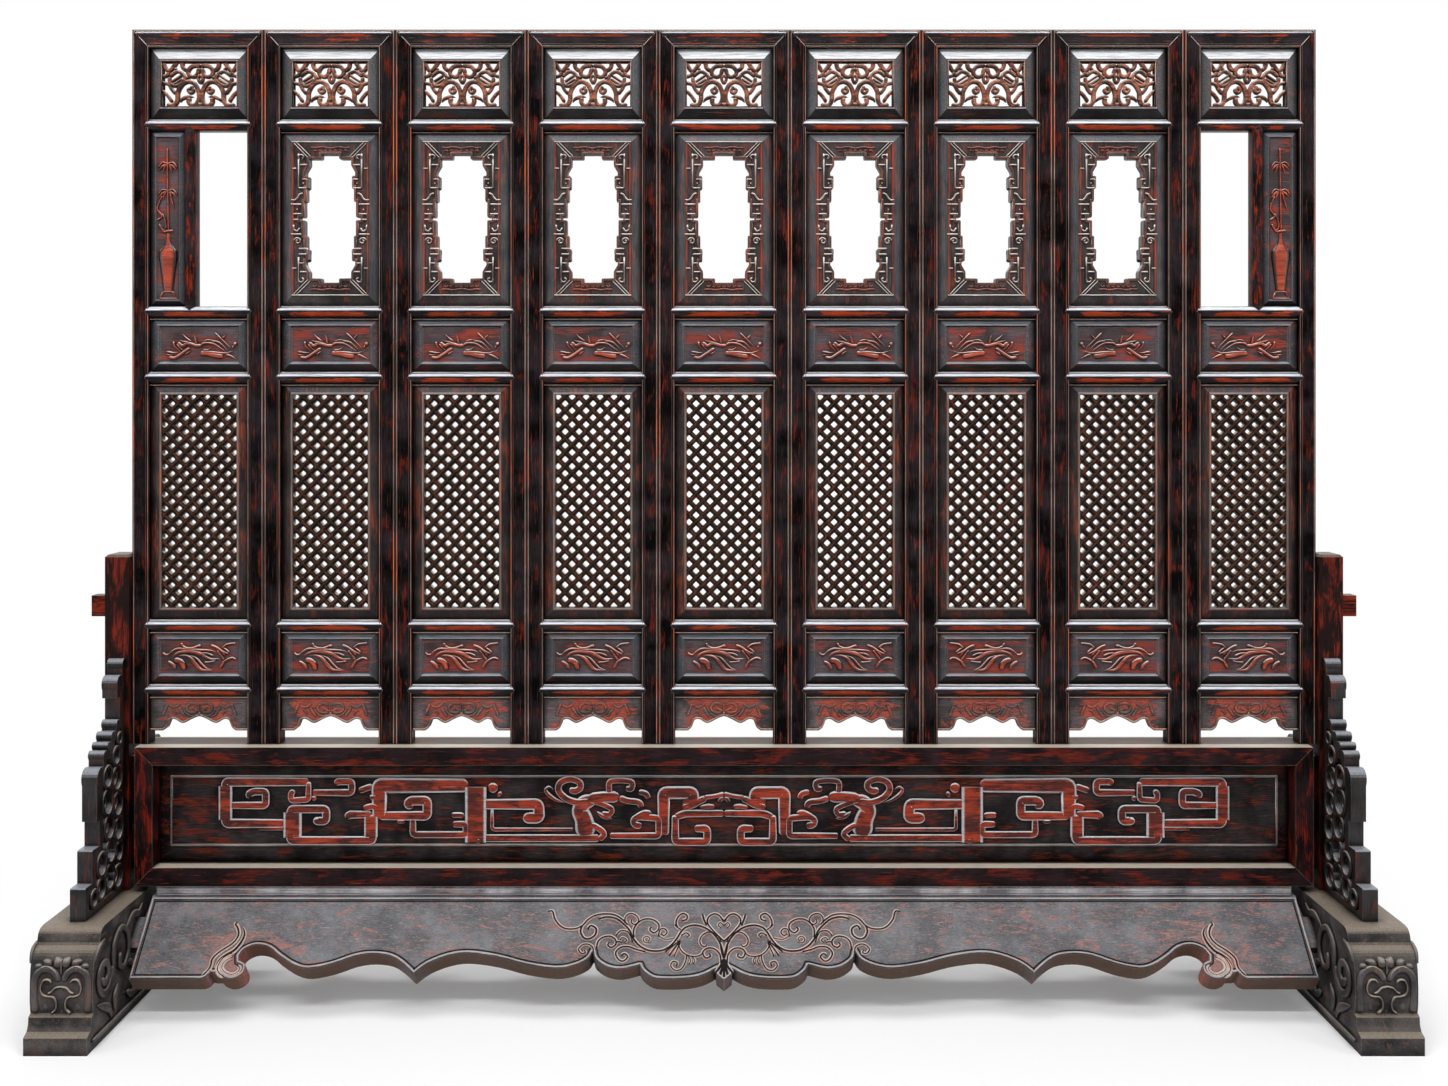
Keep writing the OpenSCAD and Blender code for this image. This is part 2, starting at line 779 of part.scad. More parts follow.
// Feet: a slab at each toe, a hollow neck, a volute block and a rounded hump before the flat top
module foot_half_outline() {
  toe = foot_l / 2;
  front = concat(
    [[toe, 0], [toe, toe_h - 3], [toe - 5, toe_h]],
    curve([[toe - 18, toe_h + 5], [toe - 25, toe_h + 18], [toe - 27, toe_h + 34]]),
    curve([[toe - 38, toe_h + 40], [toe - 34, toe_h + 75], [toe - 38, toe_h + 140],
      [toe - 52, toe_h + 172], [toe - 70, toe_h + 184]]),
    curve([[toe - 74, foot_top - 30], [toe - 80, foot_top - 12], [toe - 92, foot_top - 3],
      [toe - 110, foot_top]]));
  polygon(concat(front, [[-1, foot_top], [-1, 0]]));
}

module foot_body() {
  for (side = [0, 1])
    mirror([0, side, 0])
      rotate([0, 0, -90])
        upright(foot_w)
          foot_half_outline();
}

module foot() {
  difference() {
    translate([post_x, 0, 0])
      difference() {
        foot_body();
        post_tenon(glue_fit, tenon_end_gap);
      }
    for (side = [0, 1])
      mirror([0, side, 0])
        apron_tenon(glue_fit, tenon_end_gap);
  }
}

module right_foot() {
  color(grey_wood)
    foot();
}

module left_foot() {
  color(grey_wood)
    mirror([1, 0, 0])
      foot();
}

// Sloping aprons: drawn in the plane of the board's face, with Y up the slope from the strip
module down_slope(t, depth = 0) {
  translate([0, -strip_front, strip_z])
    rotate([apron_slope, 0, 0])
      translate([0, 0, -depth - t])
        linear_extrude(t)
          children();
}

apron_drawn_half = 1412;
apron_drawn_l = 217;
function apron_scallops() = concat(
  [[0, 222], [18, 207]],
  curve([[20, 192], [47, 207], [84, 216], [138, 218], [170, 214], [193, 197], [201, 183]], 3),
  curve([[203, 183], [244, 193], [280, 187], [307, 168], [314, 150]], 3),
  curve([[316, 150], [327, 168], [358, 184], [403, 191], [473, 181], [543, 162], [613, 152],
    [660, 158], [707, 178], [737, 204]], 3),
  curve([[739, 204], [766, 180], [799, 160], [843, 154], [885, 160], [937, 180], [990, 191],
    [1026, 183], [1065, 160], [1095, 138], [1127, 131], [1152, 141], [1163, 158]], 3),
  curve([[1160, 171], [1144, 180], [1142, 200], [1156, 214], [1176, 217], [1194, 210]], 3),
  [[1202, 202], [1216, 202]],
  curve([[1224, 200], [1230, 211], [1242, 217]], 3));

module apron_outline() {
  k = apron_half / apron_drawn_half;
  drop = apron_l - apron_drawn_l;
  half = concat([for (q = apron_scallops()) [q[0] * k, -q[1] - drop]], [[apron_half, -apron_l]]);
  polygon(concat([[-apron_half, apron_t * 2]], [for (q = reversed(half)) [-q[0], q[1]]],
    [for (q = half) if (q[0] > 0) q], [[apron_half, apron_t * 2]]));
}

module apron_tenon(fit, extra) {
  down_slope(apron_t / 2 + 2 * fit, apron_t / 4 - fit)
    translate([apron_half - 1, -apron_tenon_start - apron_tenon_w - fit])
      square([apron_end_gap + apron_tenon_d + 1 + extra, apron_tenon_w + 2 * fit]);
}

module apron_board() {
  intersection() {
    down_slope(apron_t)
      apron_outline();
    translate([-foot_in, -foot_l, 0])
      cube([2 * foot_in, foot_l - frame_tongue_t / 2 - 2, strip_z]);
  }
}

module apron() {
  apron_board();
  for (side = [0, 1])
    mirror([side, 0, 0])
      apron_tenon(0, 0);
  translate([-apron_half + 10, -strip_front, strip_z])
    cube([2 * apron_half - 20, strip_t, strip_h]);
}

module front_apron() {
  color(grey_wood)
    apron();
}

module back_apron() {
  color(grey_wood)
    mirror([0, 1, 0])
      apron();
}

left_foot();
right_foot();
left_post();
right_post();
left_front_bracket();
left_back_bracket();
right_front_bracket();
right_back_bracket();
frame_top_rail();
frame_bottom_rail();
frame_left_stile();
frame_right_stile();
frame_panel();
front_apron();
back_apron();
left_key();
right_key();
for (n = leaf_numbers) {
  leaf_stiles(n);
  leaf_rails(n);
  leaf_panels(n);
  leaf_lattice(n);
}
for (n = middle_numbers)
  leaf_medallion(n);
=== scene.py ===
import math
import bmesh
import bpy
from mathutils import Matrix, Vector


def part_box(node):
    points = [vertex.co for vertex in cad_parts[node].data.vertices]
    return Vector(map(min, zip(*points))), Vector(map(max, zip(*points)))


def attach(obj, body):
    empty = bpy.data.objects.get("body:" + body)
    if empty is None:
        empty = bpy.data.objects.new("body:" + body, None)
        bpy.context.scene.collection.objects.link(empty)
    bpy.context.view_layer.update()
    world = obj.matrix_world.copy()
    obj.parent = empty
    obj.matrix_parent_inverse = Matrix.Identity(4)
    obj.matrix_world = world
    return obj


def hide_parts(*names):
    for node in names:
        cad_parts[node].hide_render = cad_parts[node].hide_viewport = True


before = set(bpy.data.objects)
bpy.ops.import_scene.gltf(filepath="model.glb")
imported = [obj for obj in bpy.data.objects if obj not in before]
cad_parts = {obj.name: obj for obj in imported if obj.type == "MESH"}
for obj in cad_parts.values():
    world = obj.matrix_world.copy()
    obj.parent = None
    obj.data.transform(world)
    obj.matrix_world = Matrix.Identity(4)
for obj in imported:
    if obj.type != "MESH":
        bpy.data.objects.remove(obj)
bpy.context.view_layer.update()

# Carved hall screen. Shapes are written in millimetres and turned to metres by mm. Lamps, floor and
# the places named in finishes are in metres.
mm = 0.001
leafCount = 9
leaf = {"width": 328, "gap": 0.8, "stile": 41, "rail": 28, "face": 22.5, "leg": 120,
        "lowerPanel": 134, "lattice": 592, "upperPanel": 137, "medallion": 439, "openwork": 180}
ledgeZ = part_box("frame_top_rail")[1][2] / mm
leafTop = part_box("leaf_5_stiles")[1][2] / mm
stepX = leaf["width"] + leaf["gap"]
innerWidth = leaf["width"] - 2 * leaf["stile"]
innerHalf = innerWidth / 2
openings = ("lowerPanel", "lattice", "upperPanel", "medallion", "openwork")
railZ = [ledgeZ + leaf["leg"]]  # underside of each half-round rail
for opening in openings[:-1]:
    railZ.append(railZ[-1] + leaf["rail"] + leaf[opening])
middleZ = {opening: z + leaf["rail"] + leaf[opening] / 2 for opening, z in zip(openings, railZ)}


# Colours and nodes

def linear(hexColour):
    channels = [int(hexColour[i:i + 2], 16) / 255 for i in (1, 3, 5)]
    return tuple(c / 12.92 if c <= 0.04045 else ((c + 0.055) / 1.055) ** 2.4 for c in channels) + (1.0,)


def addNode(tree, kind, inputs=None, **settings):
    # Inputs go by name or number. A Map Range has 0 value, 1 and 2 from, 3 and 4 to. A colour Mix has
    # 0 factor, 6 and 7 the colours, and its colour comes out of 2.
    node = tree.nodes.new(kind)
    for name, value in settings.items():
        setattr(node, name, value)
    for name, value in (inputs or {}).items():
        if isinstance(value, bpy.types.NodeSocket):
            tree.links.new(value, node.inputs[name])
        else:
            node.inputs[name].default_value = value
    return node


# Chinese lacquer over carved hardwood, brushed on and worn: near-black, rubbed through to the red
# undercoat in streaks along the grain, its edges rubbed pale and given painted highlight, pale dust
# and painted top light on what faces up, and painted shade in the hollows.
# Grain, patch and sheen sizes are millimetres. Real brush marks and pores are under 1 mm, too fine to
# show in the picture, so the grain is drawn about 2 to 3 mm wide.
lacquerLook = {"dark": "#0f0b0b", "sheen": "#221b1e", "red": "#4a130d", "bright": "#7c2a1a", "under": "#1c1210",
               "dust": "#8d857c", "edge": "#8a6f66", "grain": "Z", "redFrom": 0.5, "redTo": 0.6,
               "dustAmount": 0.5, "dustFrom": 0.3, "dustTo": 0.9, "edgeAmount": 0.5, "rough": 0.36, "bump": 0.3,
               "grainWidth": 1.7, "grainLength": 55.0, "patchSize": 70.0, "swirl": 0.5, "gloss": 0.06,
               "hollow": 14.0, "lowRed": 0.0, "lowFrom": -0.02, "lowTo": -0.14, "middle": False, "topDull": 0.0,
               "underFrom": -0.35, "underTo": -0.65, "underAmount": 0.88, "sideDust": 0.0, "sheltered": False,
               "blush": 0.0, "scratches": 0.35, "scratchFrom": 0.64, "rimFrom": 0.5, "rimTo": 0.85,
               "edgeRadius": 2.2, "sheenSize": 90.0, "grainShare": 0.45, "patchAlong": 0.7, "patchAcross": 2.6}
# Where the red round the aprons' flames lies, and which strip of the ledge the leaves shade, in metres
blushPlace = {"aside": 1.15, "reach": 0.14, "core": 0.02, "top": 0.21, "full": 0.15}
shadedStrip = {"before": (-0.026, -0.022), "behind": (0.05, 0.056), "dust": 0.12}


def woodGrain(tree, look, coords):
    # Fine streaks and broad worn patches, both drawn out along the wood
    fine = [1000 / look["grainWidth"]] * 3
    fine["XYZ".index(look["grain"])] = 1000 / look["grainLength"]
    coarse = [1000 / look["patchSize"] * look["patchAcross"]] * 3
    coarse["XYZ".index(look["grain"])] = 1000 / look["patchSize"] * look["patchAlong"]
    made = []
    for scale, detail, roughness in ((fine, 5.0, 0.65), (coarse, 6.0, 0.66)):
        space = addNode(tree, "ShaderNodeMapping", {"Vector": coords, "Scale": scale})
        noise = addNode(tree, "ShaderNodeTexNoise", {"Vector": space.outputs[0], "Scale": 1.0, "Detail": detail,
                                                     "Roughness": roughness, "Distortion": look["swirl"]})
        made.append(noise.outputs[0])
    return made


def moreRed(tree, look, coords, upward, streaked):
    # The red coat also shows where a face looks down, and on aprons round the flames
    if look["lowRed"]:
        low = addNode(tree, "ShaderNodeMapRange", {0: upward, 1: look["lowFrom"], 2: look["lowTo"],
                                                   4: look["lowRed"]})
        if look["middle"]:
            # Most rubbed in the middle of each leaf, where it was wiped
            aside = addNode(tree, "ShaderNodeSeparateXYZ", {0: coords}).outputs["X"]
            reach = addNode(tree, "ShaderNodeMath", {0: aside, 1: math.tau / (stepX * mm)}, operation="MULTIPLY")
            wave = addNode(tree, "ShaderNodeMath", {0: reach.outputs[0]}, operation="COSINE")
            mask = addNode(tree, "ShaderNodeMapRange", {0: wave.outputs[0], 1: -0.7, 2: 0.2, 3: -0.5})
            low = addNode(tree, "ShaderNodeMath", {0: low.outputs[0], 1: mask.outputs[0]}, operation="MULTIPLY")
        streaked = addNode(tree, "ShaderNodeMath", {0: streaked, 1: low.outputs[0]}, operation="ADD").outputs[0]
    if look["blush"]:
        spot = addNode(tree, "ShaderNodeSeparateXYZ", {0: coords}).outputs
        aside = addNode(tree, "ShaderNodeMath", {0: spot["X"]}, operation="ABSOLUTE")
        off = addNode(tree, "ShaderNodeMath", {0: aside.outputs[0], 1: blushPlace["aside"]}, operation="SUBTRACT")
        far = addNode(tree, "ShaderNodeMath", {0: off.outputs[0]}, operation="ABSOLUTE")
        near = addNode(tree, "ShaderNodeMapRange", {0: far.outputs[0], 1: blushPlace["reach"],
                                                    2: blushPlace["core"], 4: look["blush"]})
        deep = addNode(tree, "ShaderNodeMapRange", {0: spot["Z"], 1: blushPlace["top"], 2: blushPlace["full"]})
        streaked = addNode(tree, "ShaderNodeMath", {0: near.outputs[0], 1: deep.outputs[0], 2: streaked},
                           operation="MULTIPLY_ADD").outputs[0]
    return streaked


def dustShare(tree, look, coords, normal, streaks):
    # Pale dust and painted top light lie on what faces up, thicker along the streaks
    facing = addNode(tree, "ShaderNodeMapRange", {0: normal["Z"], 1: look["dustFrom"], 2: look["dustTo"],
                                                  4: look["dustAmount"]}, interpolation_type="SMOOTHSTEP")
    if look["topDull"]:
        # Painted shade: the flat top of a rail lies in the leaf's own shade, so the painted highlight is kept to its
        # shoulder
        dull = addNode(tree, "ShaderNodeMapRange", {0: normal["Z"], 1: 0.7, 2: 0.9, 3: 1.0,
                                                    4: 1 - look["topDull"]})
        facing = addNode(tree, "ShaderNodeMath", {0: facing.outputs[0], 1: dull.outputs[0]}, operation="MULTIPLY")
    if look["sideDust"]:
        # Painted side light: faces that look sideways are paled as if the side lamps lit them
        sideways = addNode(tree, "ShaderNodeMath", {0: normal["X"]}, operation="ABSOLUTE")
        beside = addNode(tree, "ShaderNodeMapRange", {0: sideways.outputs[0], 1: 0.1, 2: 0.35, 4: look["sideDust"]})
        facing = addNode(tree, "ShaderNodeMath", {0: facing.outputs[0], 1: beside.outputs[0]}, operation="ADD")
    if look["sheltered"]:
        # Painted shadow: the strip of the ledge that the leaves cover and shade is kept dark, with little of its pale
        # top
        depth = addNode(tree, "ShaderNodeSeparateXYZ", {0: coords}).outputs["Y"]
        before = addNode(tree, "ShaderNodeMapRange", {0: depth, 1: shadedStrip["before"][0],
                                                      2: shadedStrip["before"][1], 3: 1.0, 4: shadedStrip["dust"]})
        behind = addNode(tree, "ShaderNodeMapRange", {0: depth, 1: shadedStrip["behind"][0],
                                                      2: shadedStrip["behind"][1]})
        swept = addNode(tree, "ShaderNodeMath", {0: before.outputs[0], 1: behind.outputs[0]}, operation="MAXIMUM")
        facing = addNode(tree, "ShaderNodeMath", {0: facing.outputs[0], 1: swept.outputs[0]}, operation="MULTIPLY")
    return addNode(tree, "ShaderNodeMath", {0: facing.outputs[0], 1: streaks}, operation="MULTIPLY",
                   use_clamp=True).outputs[0]


def bareEdges(tree, look, carved, surface, dusty, streaks):
    # Edges are rubbed pale with painted highlight on them, less where the pale top lies; where a finish's edge colour
    # is dark, its carved rims are painted shade
    if carved:
        # Carved strokes carry how far across and how high each point of their section lies
        across = addNode(tree, "ShaderNodeAttribute", attribute_name="across")
        outward = addNode(tree, "ShaderNodeMath", {0: across.outputs["Fac"]}, operation="ABSOLUTE")
        rim = addNode(tree, "ShaderNodeMapRange", {0: outward.outputs[0], 1: look["rimFrom"], 2: look["rimTo"]})
    else:
        # An edge shows where the surface around a point turns away from it
        rounded = addNode(tree, "ShaderNodeBevel", {"Radius": look["edgeRadius"] * mm}, samples=4)
        turned = addNode(tree, "ShaderNodeVectorMath", {0: rounded.outputs[0], 1: surface}, operation="DOT_PRODUCT")
        rim = addNode(tree, "ShaderNodeMapRange", {0: turned.outputs["Value"], 1: 0.985, 2: 0.80})
    clean = addNode(tree, "ShaderNodeMath", {0: 1.0, 1: dusty}, operation="SUBTRACT")
    bare = addNode(tree, "ShaderNodeMath", {0: rim.outputs[0], 1: clean.outputs[0]}, operation="MULTIPLY")
    rubbed = addNode(tree, "ShaderNodeMath", {0: bare.outputs[0], 1: look["edgeAmount"]}, operation="MULTIPLY")
    return addNode(tree, "ShaderNodeMath", {0: rubbed.outputs[0], 1: streaks}, operation="MULTIPLY",
                   use_clamp=True).outputs[0]


def lacquer(name, carved=False, **changes):
    look = dict(lacquerLook, **changes)
    material = bpy.data.materials.new(name)
    material.use_nodes = True
    tree = material.node_tree
    coords = addNode(tree, "ShaderNodeTexCoord").outputs["Object"]
    surface = addNode(tree, "ShaderNodeNewGeometry").outputs["Normal"]
    normal = addNode(tree, "ShaderNodeSeparateXYZ", {0: surface}).outputs
    grain, patches = woodGrain(tree, look, coords)
    streaks = addNode(tree, "ShaderNodeMapRange", {0: grain, 1: 0.3, 2: 0.7, 3: 0.45, 4: 1.6}).outputs[0]

    # Near-black coat with a cloudy sheen, red where it is worn through
    sheen = addNode(tree, "ShaderNodeTexNoise", {"Vector": coords, "Scale": 1000 / look["sheenSize"],
                                                 "Detail": 5.0, "Roughness": 0.6})
    clouds = addNode(tree, "ShaderNodeMapRange", {0: sheen.outputs[0], 1: 0.4, 2: 0.62})
    ground = addNode(tree, "ShaderNodeMix", {0: clouds.outputs[0], 6: linear(look["dark"]),
                                             7: linear(look["sheen"])}, data_type="RGBA")
    streaked = addNode(tree, "ShaderNodeMath", {0: grain, 1: look["grainShare"], 2: patches},
                       operation="MULTIPLY_ADD").outputs[0]
    streaked = moreRed(tree, look, coords, normal["Z"], streaked)
    middleGrain = look["grainShare"] / 2
    redness = addNode(tree, "ShaderNodeMapRange", {0: streaked, 1: look["redFrom"] + middleGrain,
                                                   2: look["redTo"] + middleGrain})
    reds = addNode(tree, "ShaderNodeMix", {0: patches, 6: linear(look["red"]), 7: linear(look["bright"])},
                   data_type="RGBA")
    worn = addNode(tree, "ShaderNodeMix", {0: redness.outputs[0], 6: ground.outputs[2], 7: reds.outputs[2]},
                   data_type="RGBA")

    # Streaks and pale scratches along the grain, dust and painted top light above, a darker underside that is
    # partly painted shade, edges rubbed pale with painted highlight and on some carved strokes dark as painted shade
    lined = addNode(tree, "ShaderNodeMix", {0: 1.0, 6: worn.outputs[2], 7: streaks}, data_type="RGBA",
                    blend_type="MULTIPLY")
    scratch = addNode(tree, "ShaderNodeMapRange", {0: grain, 1: look["scratchFrom"], 2: look["scratchFrom"] + 0.1,
                                                  4: look["scratches"]})
    # Pale dust and painted top light on what faces up
    dusty = dustShare(tree, look, coords, normal, streaks)
    # What faces down is darker: partly painted shade, partly bare wood
    below = addNode(tree, "ShaderNodeMapRange", {0: normal["Z"], 1: look["underFrom"], 2: look["underTo"],
                                                 4: look["underAmount"]})
    rubbed = bareEdges(tree, look, carved, surface, dusty, streaks)
    colour = lined.outputs[2]
    for share, tint in ((scratch.outputs[0], "edge"), (dusty, "dust"), (below.outputs[0], "under"),
                        (rubbed, "edge")):
        colour = addNode(tree, "ShaderNodeMix", {0: share, 6: colour, 7: linear(look[tint])},
                         data_type="RGBA").outputs[2]

    # Painted shade darkens the hollows beside whatever stands proud
    grime = addNode(tree, "ShaderNodeAmbientOcclusion", {"Distance": look["hollow"] * mm}, samples=6)
    hollow = addNode(tree, "ShaderNodeMapRange", {0: grime.outputs["AO"], 1: 0.35, 2: 0.95, 3: 0.06})
    final = addNode(tree, "ShaderNodeMix", {0: 1.0, 6: colour, 7: hollow.outputs[0]}, data_type="RGBA",
                    blend_type="MULTIPLY")

    # Hand-rubbed polish, a little duller where the patches are light, and grain to be felt
    gloss = addNode(tree, "ShaderNodeMapRange", {0: patches, 1: 0.3, 2: 0.7, 3: look["rough"] - 0.08,
                                                 4: look["rough"] + 0.14})
    relief = addNode(tree, "ShaderNodeBump", {"Strength": look["bump"], "Distance": 0.001, "Height": grain})
    shader = tree.nodes["Principled BSDF"]
    for part, node in (("Roughness", gloss), ("Normal", relief)):
        tree.links.new(node.outputs[0], shader.inputs[part])
    tree.links.new(final.outputs[2], shader.inputs["Base Color"])
    shader.inputs["IOR"].default_value = 1.5
    shader.inputs["Specular IOR Level"].default_value = look["gloss"]
    return material


